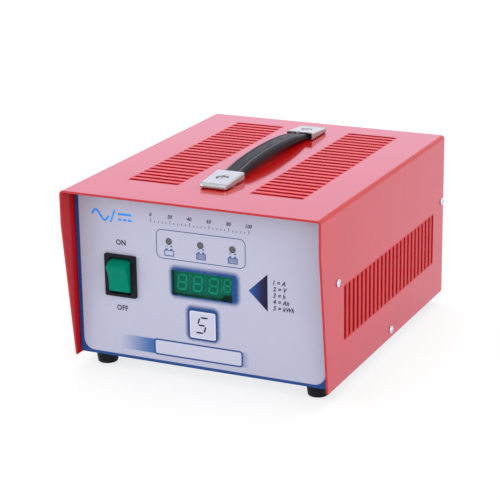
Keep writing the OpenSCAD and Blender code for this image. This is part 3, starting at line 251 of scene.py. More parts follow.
# where the coat is dull round the slots of one row, and where the strips between them are
def slotRims(tree, along, aside, row, first, last):
    pitch = paint["slotPitch"]
    turn = plus(tree, divided(tree, minus(tree, along, first), pitch), 0.5)
    fromSlot = times(tree, apart(tree, maths(tree, "FRACT", turn), 0.5), pitch)
    rim = spread(tree, fromSlot, 1.6, 3.2, paint["dull"], paint["dullBetween"])
    strip = spread(tree, fromSlot, 1.9, 3.0)
    middle, half = row
    ends = spread(tree, apart(tree, aside, middle), half, half + 1.4, 1, 0)
    away, reach = apart(tree, along, (first + last) / 2), (last - first) / 2
    outer = spread(tree, away, reach + 2.0, reach + 3.2, 1, 0)
    inner = spread(tree, away, reach - 0.5, reach + 0.5, 1, 0)
    return (times(tree, rim, times(tree, ends, outer)),
            times(tree, strip, times(tree, ends, inner)))


def redPaint():
    finish, tree, where = newFinish("red_paint", paint["color"], 0.5, shine=0.0,
                                    more={"Coat Roughness": paint["gloss"], "Coat IOR": 1.5})
    x, y, z = (divided(tree, axis, mm) for axis in axesOf(tree, where))
    across = maths(tree, "ABSOLUTE", x)
    onTop = maths(tree, "GREATER_THAN", z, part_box("cover")[1].z / mm - paint["wall"])
    onSide = maths(tree, "GREATER_THAN", across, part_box("cover")[1].x / mm - paint["wall"])
    first, last, shift = paint["slotFirst"], paint["slotLast"], paint["topShift"]
    rimsTop, paintedLightStripsTop = slotRims(tree, y, across, paint["topSlots"], first + shift, last + shift)
    rimsSide, _ = slotRims(tree, y, z, paint["sideSlots"], first, last)
    dull = plus(tree, times(tree, rimsTop, onTop), times(tree, rimsSide, onSide))
    thin = spread(tree, noise(tree, where, 40, 3), 0.35, 0.65)
    coat = mixColors(tree, thin, paint["color"], paint["thin"])
    peel = noise(tree, where, paint["peel"], 1)
    skin = bump(tree, peel, paint["peelDepth"], softEdges(tree, paint["edge"]))
    # painted light: the strips between the top slots are painted a brighter red
    return dressed(finish, normal=skin, coatNormal=skin,
                   color=mixColors(tree, times(tree, paintedLightStripsTop, onTop), coat, paint["strip"]),
                   roughness=clouds(tree, where, 6, 0.4, 0.6, 3),
                   coat=maths(tree, "SUBTRACT", 1.0, dull, clamp=True))


zinc = {
    "spangle": 5.0,  # size of its crystals
    "shades": ((0.55, 0.56, 0.58), (0.66, 0.67, 0.69)),
    "roughness": (0.34, 0.44),
}


def zincPlate():
    finish, tree, where = newFinish("zinc_plate", (0.6, 0.61, 0.63), 0.38, 0.9)
    crystals = {"Vector": where, "Scale": 1 / (zinc["spangle"] * mm)}
    flakes = addNode(tree, "TexVoronoi", crystals).outputs["Color"]
    shade = addNode(tree, "RGBToBW", {0: flakes}).outputs[0]
    drawn = noise(tree, stretched(tree, where, 0.05, 1, 1), 0.4)
    return dressed(finish,
                   color=ramp(tree, shade, (0.1, zinc["shades"][0]), (0.9, zinc["shades"][1])),
                   roughness=spread(tree, shade, 0, 1, *zinc["roughness"]),
                   normal=bump(tree, drawn, 0.01, softEdges(tree, 0.25)))


# printed film on the front, its fields in millimetres: middle across and up, width, height
film = {
    "color": (0.415, 0.424, 0.542),
    "pale": (0.48, 0.488, 0.6),
    "ink": (0.005, 0.05, 0.195),
    "tailInk": (0.036, 0.115, 0.325),
    "border": (0.01, 0.054, 0.205),
    "keyBorder": (0.68, 0.7, 0.78),
    "grain": 0.32,
    "field": (0.45, 86.8, 193.5, 146.4),
    "fieldCorner": 8.5,
    "window": (2.2, 75.1, 47.7, 18.4),
    "windowLine": 0.5,
    "key": (2.2, 45.2, 20.9, 20.9),
    "keyLine": 0.9,
    "corner": 1.4,
    "sprays": (((4.4, 76.0, 57.4, 26.4), 4.6),   # behind the window, solid this deep inside
               ((2.4, 46.3, 28.2, 28.2), 3.8)),  # behind the key
    "sprayCorner": 6,
    "strip": (-1.95, 23.85, 69.3, 10.5),
    "stripCorner": 1.6,
    "tailLeft": -66.0,                           # where the ink beside the strip fades out
    "tailRight": 39.0,
}


# distance from a rounded field, below zero inside it
def outside(tree, x, z, area, radius):
    middle, level, width, height = area
    across = minus(tree, apart(tree, x, middle), width / 2 - radius)
    upward = minus(tree, apart(tree, z, level), height / 2 - radius)
    corner = {0: maths(tree, "MAXIMUM", across, 0), 1: maths(tree, "MAXIMUM", upward, 0)}
    corner = addNode(tree, "CombineXYZ", corner).outputs[0]
    length = addNode(tree, "VectorMath", {0: corner}, operation="LENGTH").outputs["Value"]
    return minus(tree, length, radius)


# sprayed ink, broken up by the grain of the film
def sprayed(tree, grain, density):
    broken = minus(tree, 1.3, times(tree, grain, 0.6))
    return maths(tree, "MULTIPLY", density, broken, clamp=True)


def panelAxes(tree, where):
    axes = axesOf(tree, where)
    return divided(tree, axes[0], mm), divided(tree, axes[2], mm)


def panelFilm():
    finish, tree, where = newFinish("panel_film", film["color"], 0.42, shine=0.2)
    x, z = panelAxes(tree, where)
    grain = clouds(tree, where, film["grain"], detail=1)
    layers = []
    for area, solid in film["sprays"]:
        into = times(tree, outside(tree, x, z, area, film["sprayCorner"]), -1)
        density = spread(tree, into, -0.5, solid, 0, 1.4)
        layers.append((sprayed(tree, grain, density), film["ink"]))
    for name in ("window", "key"):
        beyond, line = outside(tree, x, z, film[name], film["corner"]), film[name + "Line"]
        layers.append((spread(tree, beyond, line, line + 0.4, 1, 0), film["border"]))
    # ink that fades out to the left and right of the strip
    middle, level, width, height = film["strip"]
    band = spread(tree, apart(tree, z, level), height / 2, height / 2 + 0.8, 1, 0)
    leftTail = spread(tree, x, film["tailLeft"], middle - width / 2, 0, 1.2)
    rightTail = spread(tree, x, film["tailRight"], middle + width / 2, 0, 0.7)
    onLeft = maths(tree, "LESS_THAN", x, middle)
    tails = times(tree, spread(tree, onLeft, 0, 1, rightTail, leftTail), band)
    layers.append((sprayed(tree, grain, tails), film["tailInk"]))
    # the strip itself, and the line round the whole field
    beyond = outside(tree, x, z, film["strip"], film["stripCorner"])
    layers.append((spread(tree, beyond, 0.85, 1.25, 1, 0), film["border"]))
    layers.append((spread(tree, beyond, -0.35, 0.0, 1, 0), toned(tree, grain, film["pale"], 0.04)))
    beyond = outside(tree, x, z, film["field"], film["fieldCorner"])
    layers.append((spread(tree, beyond, -0.15, 0.25), film["border"]))
    color = toned(tree, grain, film["color"], 0.06)
    for mask, ink in layers:
        color = mixColors(tree, mask, color, ink)
    return dressed(finish, color=color, roughness=clouds(tree, where, 3, 0.36, 0.48),
                   normal=bump(tree, grain, 0.012))


def keyFilm():
    finish, tree, where = newFinish("key_film", film["pale"], 0.4, shine=0.2)
    x, z = panelAxes(tree, where)
    grain = clouds(tree, where, 0.45, detail=1)
    face = toned(tree, grain, film["pale"], 0.04)
    border = spread(tree, outside(tree, x, z, film["key"], 1.6), -1.0, -0.75)
    return dressed(finish, color=mixColors(tree, border, face, film["keyBorder"]),
                   roughness=clouds(tree, where, 3, 0.34, 0.46),
                   normal=bump(tree, grain, 0.012, softEdges(tree, 0.2)))


# ink of the print, a little broken up like a screen print
def printInk(name, color):
    finish, tree, where = newFinish(name, color, 0.42, shine=0.15)
    dots = noise(tree, where, 0.35)
    thin = tuple(c + (s - c) * 0.07 for c, s in zip(color, film["color"]))
    return dressed(finish, color=ramp(tree, dots, (0.3, color), (0.75, thin)),
                   roughness=spread(tree, dots, 0.3, 0.7, 0.378, 0.462),
                   normal=bump(tree, dots, 0.004))


# pointer beside the display, its ink darker towards the right
pointer = {
    "corners": ((39.0, 76.9), (53.7, 63.0), (53.7, 90.6)),
    "fade": (39.2, 53.7),
    "inks": ((0.0, (0.018, 0.09, 0.31)), (0.35, (0.013, 0.05, 0.18)),
             (0.6, (0.014, 0.017, 0.085)), (0.85, (0.01, 0.008, 0.028))),
}


def arrowInk():
    finish, tree, where = newFinish("arrow_ink", pointer["inks"][1][1], 0.42, shine=0.15)
    x, z = panelAxes(tree, where)
    grain = noise(tree, where, 0.5, 1)
    speckle = times(tree, minus(tree, grain, 0.5), 0.5)
    along = plus(tree, spread(tree, x, *pointer["fade"]), speckle)
    return dressed(finish, color=ramp(tree, along, *pointer["inks"]),
                   roughness=spread(tree, grain, 0.3, 0.7, 0.36, 0.48))


def greenFilter():
    finish, tree, where = newFinish("green_filter", (0.05, 0.82, 0.6), 0.08, shine=0.03,
                                    more={"Transmission Weight": 1.0, "IOR": 1.2})
    tint = ramp(tree, noise(tree, where, 8), (0.3, (0.005, 0.74, 0.54)), (0.7, (0.015, 0.8, 0.6)))
    return dressed(finish, color=tint, roughness=clouds(tree, where, 4, 0.05, 0.12))


digits = {
    "block": ((0.16, 0.16, 0.17), (0.2, 0.2, 0.21)),
    "rim": (0.4, 0.4, 0.4),  # painted highlight, a pale line between one digit and the next
    "segment": (0.52, 0.52, 0.51),
    "count": 3,
}


def digitBlock():
    finish, tree, where = newFinish("digit_block", (0.17, 0.17, 0.18), 0.5)
    axes = axesOf(tree, where)
    low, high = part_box("large_digits")
    segments = spread(tree, axes[1], low.y + 0.1 * mm, low.y + 0.25 * mm)
    pitch = (high.x - low.x) / digits["count"]
    across = plus(tree, divided(tree, minus(tree, axes[0], low.x), pitch), 0.5)
    # painted highlight along the edges between the digit modules
    rim = spread(tree, apart(tree, maths(tree, "FRACT", across), 0.5), 0.016, 0.028, 1, 0)
    darker, lighter = digits["block"]
    block = ramp(tree, noise(tree, where, 2), (0.3, darker), (0.7, lighter))
    block = mixColors(tree, rim, block, digits["rim"])
    return dressed(finish, color=mixColors(tree, segments, block, digits["segment"]),
                   roughness=clouds(tree, where, 1.5, 0.4, 0.55))


def circuitBoard():
    finish, tree, where = newFinish("circuit_board", (0.02, 0.12, 0.04), 0.3)
    bricks = {"Vector": where, "Scale": 1 / (4 * mm), "Mortar Size": 0.06, "Mortar Smooth": 0.2,
              "Color1": (0.015, 0.13, 0.04, 1), "Color2": (0.02, 0.17, 0.05, 1),
              "Mortar": (0.01, 0.07, 0.025, 1)}
    traces = addNode(tree, "TexBrick", bricks).outputs
    return dressed(finish, color=traces[0], normal=bump(tree, traces[1], 0.03))


def copperWire():
    finish, tree, where = newFinish("copper_wire", (0.62, 0.2, 0.06), 0.28, 0.85)
    wire = {"Vector": where, "Scale": 0.16 / mm, "Distortion": 0.4, "Detail": 1.0}
    turns = addNode(tree, "TexWave", wire, bands_direction="Z").outputs[1]
    # painted shade in the grooves between the turns and painted highlight on their crowns
    return dressed(finish,
                   color=ramp(tree, turns, (0.1, (0.3, 0.07, 0.02)), (0.8, (0.72, 0.26, 0.09))),
                   roughness=clouds(tree, where, 3, 0.22, 0.36), normal=bump(tree, turns, 0.3))


def capacitorSleeve():
    sleeve, stripe = (0.012, 0.018, 0.07), (0.4, 0.42, 0.5)
    finish, tree, where = newFinish("capacitor_sleeve", sleeve, 0.25)
    turn = maths(tree, "SINE", divided(tree, axesOf(tree, where)[0], 4 * mm))
    return dressed(finish, color=mixColors(tree, spread(tree, turn, 0.9, 0.95), sleeve, stripe),
                   roughness=clouds(tree, where, 5, 0.2, 0.35),
                   normal=bump(tree, noise(tree, where, 2), 0.02, softEdges(tree, 0.5)))


def heatsinkAlloy():
    finish, tree, where = newFinish("heatsink_alloy", (0.66, 0.67, 0.69), 0.35, 1.0)
    drawn = noise(tree, stretched(tree, where, 1, 0.03, 1), 0.5)
    return dressed(finish,
                   color=ramp(tree, drawn, (0.3, (0.55, 0.56, 0.58)), (0.7, (0.75, 0.76, 0.78))),
                   roughness=spread(tree, drawn, 0.3, 0.7, 0.28, 0.42),
                   normal=bump(tree, drawn, 0.02, softEdges(tree, 0.2)))


# pale glass with a metal cap on each end
def fuseGlass():
    finish, tree, where = newFinish("fuse_glass", (0.9, 0.92, 0.93), 0.05)
    low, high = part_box("mains_fuse")
    half = (high.x - low.x) / 2
    away = apart(tree, axesOf(tree, where)[0], (low.x + high.x) / 2)
    caps = spread(tree, away, half - 5.1 * mm, half - 5 * mm)
    return dressed(finish, metal=caps,
                   color=mixColors(tree, caps, (0.82, 0.86, 0.86), (0.7, 0.71, 0.73)),
                   roughness=clouds(tree, where, 2, 0.06, 0.18))


def ribbonPlastic():
    finish, tree, where = newFinish("ribbon_plastic", (0.5, 0.5, 0.5), 0.45)
    wave = {"Vector": where, "Scale": 0.25 / mm}
    strands = addNode(tree, "TexWave", wave, bands_direction="X").outputs[1]
    # painted shade: darker in the grooves between the strands, lighter on their crowns
    return dressed(finish,
                   color=ramp(tree, strands, (0.0, (0.3, 0.3, 0.31)), (0.5, (0.56, 0.56, 0.57))),
                   normal=bump(tree, strands, 0.3))


vinyl = {
    "shades": ((0.015, 0.015, 0.024), (0.028, 0.028, 0.042)),
    "crease": (0.012, 0.012, 0.016),
    "cell": 0.9,                     # size of the leather grain
    "paintedBeadHighlight": (0.13, 0.13, 0.145),   # painted highlight, paler along the beads, broken up like wear
    "bead": 5.1,                     # from the strap's middle to a bead
}


def strapVinyl():
    finish, tree, where = newFinish("strap_vinyl", (0.022, 0.023, 0.03), 0.4, shine=0.12)
    grain = {"Vector": stretched(tree, where, 1, 0.6, 1), "Scale": 1 / (vinyl["cell"] * mm)}
    cells = addNode(tree, "TexVoronoi", grain, feature="DISTANCE_TO_EDGE").outputs[0]
    creases = spread(tree, cells, 0.0, 0.25)
    wear = noise(tree, where, 9, 4)
    darker, lighter = vinyl["shades"]
    tone = ramp(tree, wear, (0.3, darker), (0.7, lighter))
    tone = mixColors(tree, creases, vinyl["crease"], tone)
    # painted highlight: a paler line along each bead, broken up by the wear noise
    aside = maths(tree, "ABSOLUTE", axesOf(tree, where)[0])
    bead = spread(tree, apart(tree, aside, vinyl["bead"] * mm), 0.25 * mm, 0.75 * mm, 1, 0)
    paintedBeadHighlight = times(tree, bead, spread(tree, wear, 0.2, 0.6, 0.5, 1.0))
    return dressed(finish, color=mixColors(tree, paintedBeadHighlight, tone, vinyl["paintedBeadHighlight"]),
                   roughness=spread(tree, wear, 0.3, 0.7, 0.36, 0.5),
                   normal=bump(tree, creases, 0.06))


capChrome = {
    "shades": ((0.48, 0.495, 0.52), (0.55, 0.56, 0.59)),
    "paintedShade": (0.07, 0.07, 0.08),  # painted shade, dark in the grooves and round the screws
    "paintedShadeReach": 1.6,
    "edge": 1.8,
}


def chrome():
    finish, tree, where = newFinish("chrome", (0.52, 0.53, 0.56), 0.16, 0.8)
    haze = noise(tree, where, 5, 5)
    darker, lighter = capChrome["shades"]
    metal = ramp(tree, haze, (0.3, darker), (0.7, lighter))
    # painted shade: ambient occlusion darkens the chrome's colour in the grooves and round the
    # screws
    reach = {"Distance": capChrome["paintedShadeReach"] * mm}
    clear = addNode(tree, "AmbientOcclusion", reach, samples=6).outputs["AO"]
    clear = spread(tree, clear, 0.2, 0.62)
    edges = softEdges(tree, capChrome["edge"])
    return dressed(finish, color=mixColors(tree, clear, capChrome["paintedShade"], metal),
                   roughness=spread(tree, haze, 0.3, 0.7, 0.13, 0.24),
                   normal=bump(tree, noise(tree, where, 4), 0.01, edges))


# plain finishes; sizes, depths and rounded edges are in millimetres
plainFinishes = {
    "black_plastic": {"color": (0.009, 0.009, 0.013), "roughness": 0.38, "cloud": 8, "vary": 0.25,
                      "grain": 0.5, "depth": 0.012, "edge": 0.35, "shine": 0.1},
    "green_rocker": {"color": (0.0, 0.18, 0.118), "roughness": 0.3, "cloud": 6, "vary": 0.06,
                     "grain": 0.6, "depth": 0.006, "edge": 0.9, "shine": 0.04},
    "brass": {"color": (0.75, 0.55, 0.22), "roughness": 0.28, "metallic": 1.0, "cloud": 3,
              "vary": 0.12, "grain": 0.6, "depth": 0.01},
    "grey_lamp": {"color": (0.105, 0.105, 0.11), "roughness": 0.3, "cloud": 1.5, "vary": 0.15,
                  "grain": 0.5, "depth": 0.02, "edge": 0, "shine": 0.2},
    "zinc_screw": {"color": (0.66, 0.67, 0.7), "roughness": 0.25, "metallic": 1.0, "cloud": 2,
                   "vary": 0.1, "grain": 0.5, "depth": 0.01},
    "ferrite": {"color": (0.03, 0.031, 0.034), "roughness": 0.6, "cloud": 3, "vary": 0.3,
                "grain": 0.4, "depth": 0.04},
    "bobbin_plastic": {"color": (0.13, 0.055, 0.02), "roughness": 0.4, "cloud": 5, "vary": 0.15,
                       "grain": 0.6, "depth": 0.02},
    "ring_core": {"color": (0.65, 0.5, 0.05), "roughness": 0.45, "cloud": 4, "vary": 0.1,
                  "grain": 0.8, "depth": 0.03},
    "capacitor_box": {"color": (0.6, 0.42, 0.05), "roughness": 0.35, "cloud": 6, "vary": 0.08,
                      "grain": 0.7, "depth": 0.02},
    "relay_plastic": {"color": (0.02, 0.06, 0.22), "roughness": 0.3, "cloud": 7, "vary": 0.1,
                      "grain": 0.7, "depth": 0.01},
    "terminal_plastic": {"color": (0.02, 0.2, 0.06), "roughness": 0.35, "cloud": 5, "vary": 0.1,
                         "grain": 0.7, "depth": 0.01},
    "foot_rubber": {"color": (0.009, 0.009, 0.012), "roughness": 0.55, "cloud": 4, "vary": 0.3,
                    "grain": 0.4, "depth": 0.03, "edge": 0.4, "shine": 0.1},
}


# a finish whose colour, gloss and surface all vary a little
def grained(name, color, roughness, cloud, vary, grain, depth, edge=0.2, metallic=0.0, shine=0.5):
    finish, tree, where = newFinish(name, color, roughness, metallic, shine)
    under = softEdges(tree, edge) if edge else None
    return dressed(finish, color=toned(tree, noise(tree, where, cloud, 4), color, vary, 0.3, 0.7),
                   roughness=clouds(tree, where, cloud / 3, roughness * 0.85, roughness * 1.15),
                   normal=bump(tree, noise(tree, where, grain), depth, under))


finishes = {
    "red_paint": redPaint(),
    "zinc_plate": zincPlate(),
    "panel_film": panelFilm(),
    "key_film": keyFilm(),
    "green_filter": greenFilter(),
    "digit_block": digitBlock(),
    "circuit_board": circuitBoard(),
    "copper_wire": copperWire(),
    "capacitor_sleeve": capacitorSleeve(),
    "heatsink_alloy": heatsinkAlloy(),
    "fuse_glass": fuseGlass(),
    "ribbon_plastic": ribbonPlastic(),
    "strap_vinyl": strapVinyl(),
    "chrome": chrome(),
}
for name, look in plainFinishes.items():
    finishes[name] = grained(name, **look)
for part in frame["record"]["subparts"]:
    mesh = frame["nodes"][part["node"]].data
    mesh.materials.clear()
    mesh.materials.append(finishes[part["material_slot"]])

print("finishes made:", len(finishes))


def meshFrom(name, form):
    mesh = bpy.data.meshes.new(name)
    form.to_mesh(mesh)
    form.free()
    return mesh


# mesh of a helper object as its modifiers leave it; the helper itself goes
def appliedMesh(helper):
    final = helper.evaluated_get(bpy.context.evaluated_depsgraph_get())
    mesh = bpy.data.meshes.new_from_object(final)
    bpy.data.objects.remove(helper)
    return mesh


# turns finished geometry into a piece that rides on its body
def addPiece(name, form, finish, body="case", smooth=False, replaces=None):
    bmesh.ops.remove_doubles(form, verts=form.verts, dist=1e-6)
    bmesh.ops.dissolve_degenerate(form, edges=form.edges, dist=1e-7)
    bmesh.ops.recalc_face_normals(form, faces=form.faces)
    if smooth:
        sharp = math.radians(35)
        for face in form.faces:
            face.smooth = True
        for edge in form.edges:
            edge.smooth = not edge.is_manifold or edge.calc_face_angle(0) < sharp
    mesh = meshFrom(name, form)
    mesh.materials.append(finish)
    piece = linked(name, mesh)
    if replaces:
        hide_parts(replaces)
    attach(piece, body)
    return piece


# flat shapes of the print, drawn in millimetres across and up the panel
def bar(left, low, right, high):
    return [(left, low), (right, low), (right, high), (left, high)]


# outline of a cross, which starts at the corner with the given number
def cross(x, z, arm, half, first=0):
    corners = ((arm, -half), (arm, half), (half, half), (half, arm), (-half, arm), (-half, half),
               (-arm, half), (-arm, -half), (-half, -half), (-half, -arm), (half, -arm),
               (half, -half))
    return [(x + across, z + up) for across, up in corners[first:] + corners[:first]]


def rounded(left, low, right, high, radius, steps=8):
    points = []
    corners = ((right - radius, low + radius, -90), (right - radius, high - radius, 0),
               (left + radius, high - radius, 90), (left + radius, low + radius, 180))
    for x, z, start in corners:
        for step in range(steps + 1):
            angle = math.radians(start + 90 * step / steps)
            points.append((x + radius * math.cos(angle), z + radius * math.sin(angle)))
    return points


# a straight stroke, whose ends are cut to a point where one is given
def stroke(start, end, width, point=0.0):
    start, end = Vector(start), Vector(end)
    along = (end - start).normalized()
    aside = Vector((-along.y, along.x)) * width / 2
    if not point:
        return [start + aside, start - aside, end - aside, end + aside]
    cut = along * point
    return [start, start + cut - aside, end - cut - aside,
            end, end - cut + aside, start + cut + aside]


# print stands a hair proud of what carries it
printing = {
    "thickness": 0.05,
    "sunk": 0.005,
    "bold": 0.03,      # letters are drawn this much fatter,
    "narrow": 0.88,    # squeezed to this share of their width
    "spacing": 1.09,   # and set this much further apart
}


def outlineCurve(outlines):
    curve = bpy.data.curves.new("outline", "CURVE")
    curve.dimensions = "2D"
    for outline in outlines:
        spline = curve.splines.new("POLY")
        spline.points.add(len(outline) - 1)
        for point, (x, z) in zip(spline.points, outline):
            point.co = (x, z, 0, 1)
        spline.use_cyclic_u = True
    return curve


def wordCurve(words, slant=0.0):
    curve = bpy.data.curves.new("words", "FONT")
    curve.body, curve.shear, curve.resolution_u = words, slant, 3
    curve.offset, curve.space_character = printing["bold"], printing["spacing"]
    return curve


def flatMesh(curve, thickness):
    curve.fill_mode, curve.extrude = "BOTH", thickness / 2
    return appliedMesh(linked("flat", curve))


def letterHeight():
    mesh = flatMesh(wordCurve("H"), 0)
    height = max(v.co.y for v in mesh.vertices)
    bpy.data.meshes.remove(mesh)
    return height


capHeight = letterHeight()


def makePrint(name, finish, outlines=(), words=(), body="case", carrier="front_overlay"):
    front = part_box(carrier)[0].y
    thickness = printing["thickness"]
    meshes = []
    if outlines:
        meshes.append((flatMesh(outlineCurve(outlines), thickness), Matrix()))
    for text, x, z, height, side, slant in words:
        scale = height / capHeight
        mesh = flatMesh(wordCurve(text, slant), thickness / scale)
        right, left = (end(v.co.x for v in mesh.vertices) for end in (max, min))
        shift = {"left": -left, "middle": -(right + left) / 2}[side]
        place = Matrix.Translation((x, z, 0)) @ Matrix.Scale(scale, 4)
        place = place @ Matrix.Diagonal((printing["narrow"], 1, 1, 1))
        meshes.append((mesh, place @ Matrix.Translation((shift, 0, 0))))
    form = bmesh.new()
    for mesh, place in meshes:
        mesh.transform(place)
        form.from_mesh(mesh)
        bpy.data.meshes.remove(mesh)
    away = front - (thickness / 2 - printing["sunk"]) * mm
    upright = Matrix.Translation((0, away, 0)) @ Matrix.Rotation(math.radians(90), 4, "X")
    bmesh.ops.transform(form, matrix=upright @ Matrix.Scale(mm, 4), verts=form.verts)
    return addPiece(name, form, finish, body)


inks = {
    "blue": printInk("blue_ink", (0.012, 0.052, 0.2)),
    "dark": printInk("dark_ink", (0.008, 0.009, 0.018)),
    "black": printInk("black_ink", (0.004, 0.004, 0.006)),
    "bright": printInk("bright_ink", (0.02, 0.26, 0.8)),
    "arrow": arrowInk(),
}

# round the three lamps, with a battery sign under each: empty, half and full
lampPanel = {
    "frame": (-33.5, 92.1, 37.1, 114.1),
    "corner": 4.5,
    "line": 0.55,
    "batteries": ((-27.1, 94.5, -19.3, 99.0), (-1.6, 94.7, 6.0, 99.4), (23.2, 94.9, 30.9, 99.4)),
    "batteryLine": 0.6,
    "stripes": (0, 7, 9),        # in each battery
    "posts": (1.3, 2.7, 1.4),    # starts from the left and from the right side, width
    "postLevels": (0.05, 1.15),  # above the battery
    "minus": (1.2, 1.5),         # start from the left side, length
    "plus": (2.0, 0.95),         # middle from the right side, half its length
    "signLevel": 2.9,            # above the battery
    "signHalf": 0.22,            # half the thickness of a sign's line
}


def batterySign(left, low, right, high, stripes):
    line, half = lampPanel["batteryLine"], lampPanel["signHalf"]
    shapes = [bar(left, low, right, high), bar(left + line, low + line, right - line, high - line)]
    fromLeft, fromRight, wide = lampPanel["posts"]
    foot, tip = lampPanel["postLevels"]
    for post in (left + fromLeft, right - fromRight):
        shapes.append(bar(post, high + foot, post + wide, high + tip))
    level = high + lampPanel["signLevel"]
    start, length = left + lampPanel["minus"][0], lampPanel["minus"][1]
    shapes.append(bar(start, level - half, start + length, level + half))
    middle, arm = right - lampPanel["plus"][0], lampPanel["plus"][1]
    shapes.append(cross(middle, level, arm, half, first=7))
    for count in range(stripes):
        step = (right - left - 2 * line) / stripes
        start = left + line + step * count + step * 0.2
        shapes.append(bar(start, low + line + 0.2, start + step * 0.5, high - line - 0.2))
    return shapes


def makeLampPanel():
    left, low, right, high = lampPanel["frame"]
    line, corner = lampPanel["line"], lampPanel["corner"]
    inner = rounded(left + line, low + line, right - line, high - line, corner - line)
    makePrint("lamp_frame", inks["blue"], [rounded(left, low, right, high, corner), inner])
    shapes = []
    for battery, stripes in zip(lampPanel["batteries"], lampPanel["stripes"]):
        shapes += batterySign(*battery, stripes)
    makePrint("battery_signs", inks["blue"], shapes)


makeLampPanel()
makePrint("unit_arrow", inks["arrow"], [pointer["corners"]])

# plain generic lettering: numbers, unit signs, and on and off beside the switch
lettering = {
    "switch": (("ON", -62.4, 98.1, 4.0), ("OFF", -62.9, 48.0, 4.0)),  # middle, level, height
    "units": ("1 = A", "2 = V", "3 = h", "4 = Ah", "5 = kWh"),
    "unitsStart": (57.8, 83.6),
    "unitsPitch": 4.72,
    "unitsHeight": 3.3,
    "slant": 0.26,
    "scaleSpan": (-37.4, 39.8),   # from the first number to the last
    "scaleNumbers": (0, 20, 40, 60, 80, 100),
    "scaleHeight": 2.7,
    "scaleLevel": 122.6,
    "tickLevel": 118.3,
    "ticks": 5,                   # from one number to the next
    "tickHeights": (2.6, 1.4),    # at a number, and between
    "tickHalf": 0.22,             # half a tick's width
}


def makeLettering():
    slant = lettering["slant"]
    words = [(word, x, z, height, "middle", 0.0) for word, x, z, height in lettering["switch"]]
    makePrint("switch_words", inks["dark"], words=words)
    x, z = lettering["unitsStart"]
    rows = [(row, x, z - lettering["unitsPitch"] * count, lettering["unitsHeight"], "left", slant)
            for count, row in enumerate(lettering["units"])]
    makePrint("unit_list", inks["dark"], words=rows)
    left, right = lettering["scaleSpan"]
    numbers, ticks = lettering["scaleNumbers"], lettering["ticks"]
    step = (right - left) / (len(numbers) - 1)
    level, height = lettering["scaleLevel"], lettering["scaleHeight"]
    marks = [(str(number), left + step * count, level, height, "middle", slant)
             for count, number in enumerate(numbers)]
    level, half = lettering["tickLevel"], lettering["tickHalf"]
    bars = []
    for count in range(ticks * (len(numbers) - 1) + 1):
        at = left + step * count / ticks
        height = lettering["tickHeights"][0 if count % ticks == 0 else 1]
        bars.append(bar(at - half, level, at + half, level + height))
    makePrint("level_scale", inks["dark"], bars, marks)


makeLettering()

# signs for alternating and direct current
currentSigns = {
    "wave": (-85.5, -71.5, 119.2, 3.6),  # from, to, middle height, swing
    "waveSteps": 32,
    "line": 1.7,
    "slash": ((-70.2, 114.4), (-66.4, 124.0)),
    "slashLine": 1.36,
    "bars": ((-64.0, 120.4, -53.0, 122.1), (-64.0, 116.3, -61.1, 118.0),
             (-59.95, 116.3, -57.05, 118.0), (-55.9, 116.3, -53.0, 118.0)),
}


def makeCurrentSigns():
    start, end, level, swing = currentSigns["wave"]
    half, steps = currentSigns["line"] / 2, currentSigns["waveSteps"]
    upper, lower = [], []
    for step in range(steps + 1):
        turn = 2 * math.pi * step / steps
        x = start + (end - start) * step / steps
        slope = swing * math.cos(turn) * 2 * math.pi / (end - start)
        normal = Vector((-slope, 1)).normalized() * half
        spot = Vector((x, level + swing * math.sin(turn)))
        upper.append(tuple(spot + normal))
        lower.append(tuple(spot - normal))
    shapes = [upper + lower[::-1], stroke(*currentSigns["slash"], currentSigns["slashLine"])]
    shapes += [bar(*sides) for sides in currentSigns["bars"]]
    makePrint("current_signs", inks["bright"], shapes)


makeCurrentSigns()

# plain figure on the key, in segments
keyFigure = {
    "line": 1.2,
    "point": 0.5,
    "segments": (((0.6, 51.1), (6.5, 51.1)), ((-0.1, 50.5), (-1.6, 45.9)),
                 ((-1.1, 45.2), (4.0, 45.2)), ((4.7, 44.5), (3.3, 39.9)),
                 ((-3.2, 39.4), (2.5, 39.4))),
}
makePrint("key_figure", inks["black"],
          [stroke(*ends, keyFigure["line"], keyFigure["point"]) for ends in keyFigure["segments"]],
          body="key", carrier="select_key")
print("front panel printed")

# what all screws share; heights and radii are shares of the head's or the shank's
screwShape = {
    "crown": math.radians(82),  # arc of the domed head
    "crownSteps": 6,
    "crownFoot": 0.3,           # height at which the dome's arc is centred
    "rim": 0.12,
    "under": 0.97,
    "around": 24,
    "pitch": 0.6,               # of the rings, in millimetres
    "root": 0.82,               # radius between two rings
    "point": (0.8, 0.6, 0.3),   # radii and height of the bevelled end
    "recess": 0.62,             # depth of the cross
    "arm": 0.2,                 # half the width of the cross's arm
    "recessTop": 1.15,          # wider at the top than at its floor
    "recessFloor": 0.62,
}


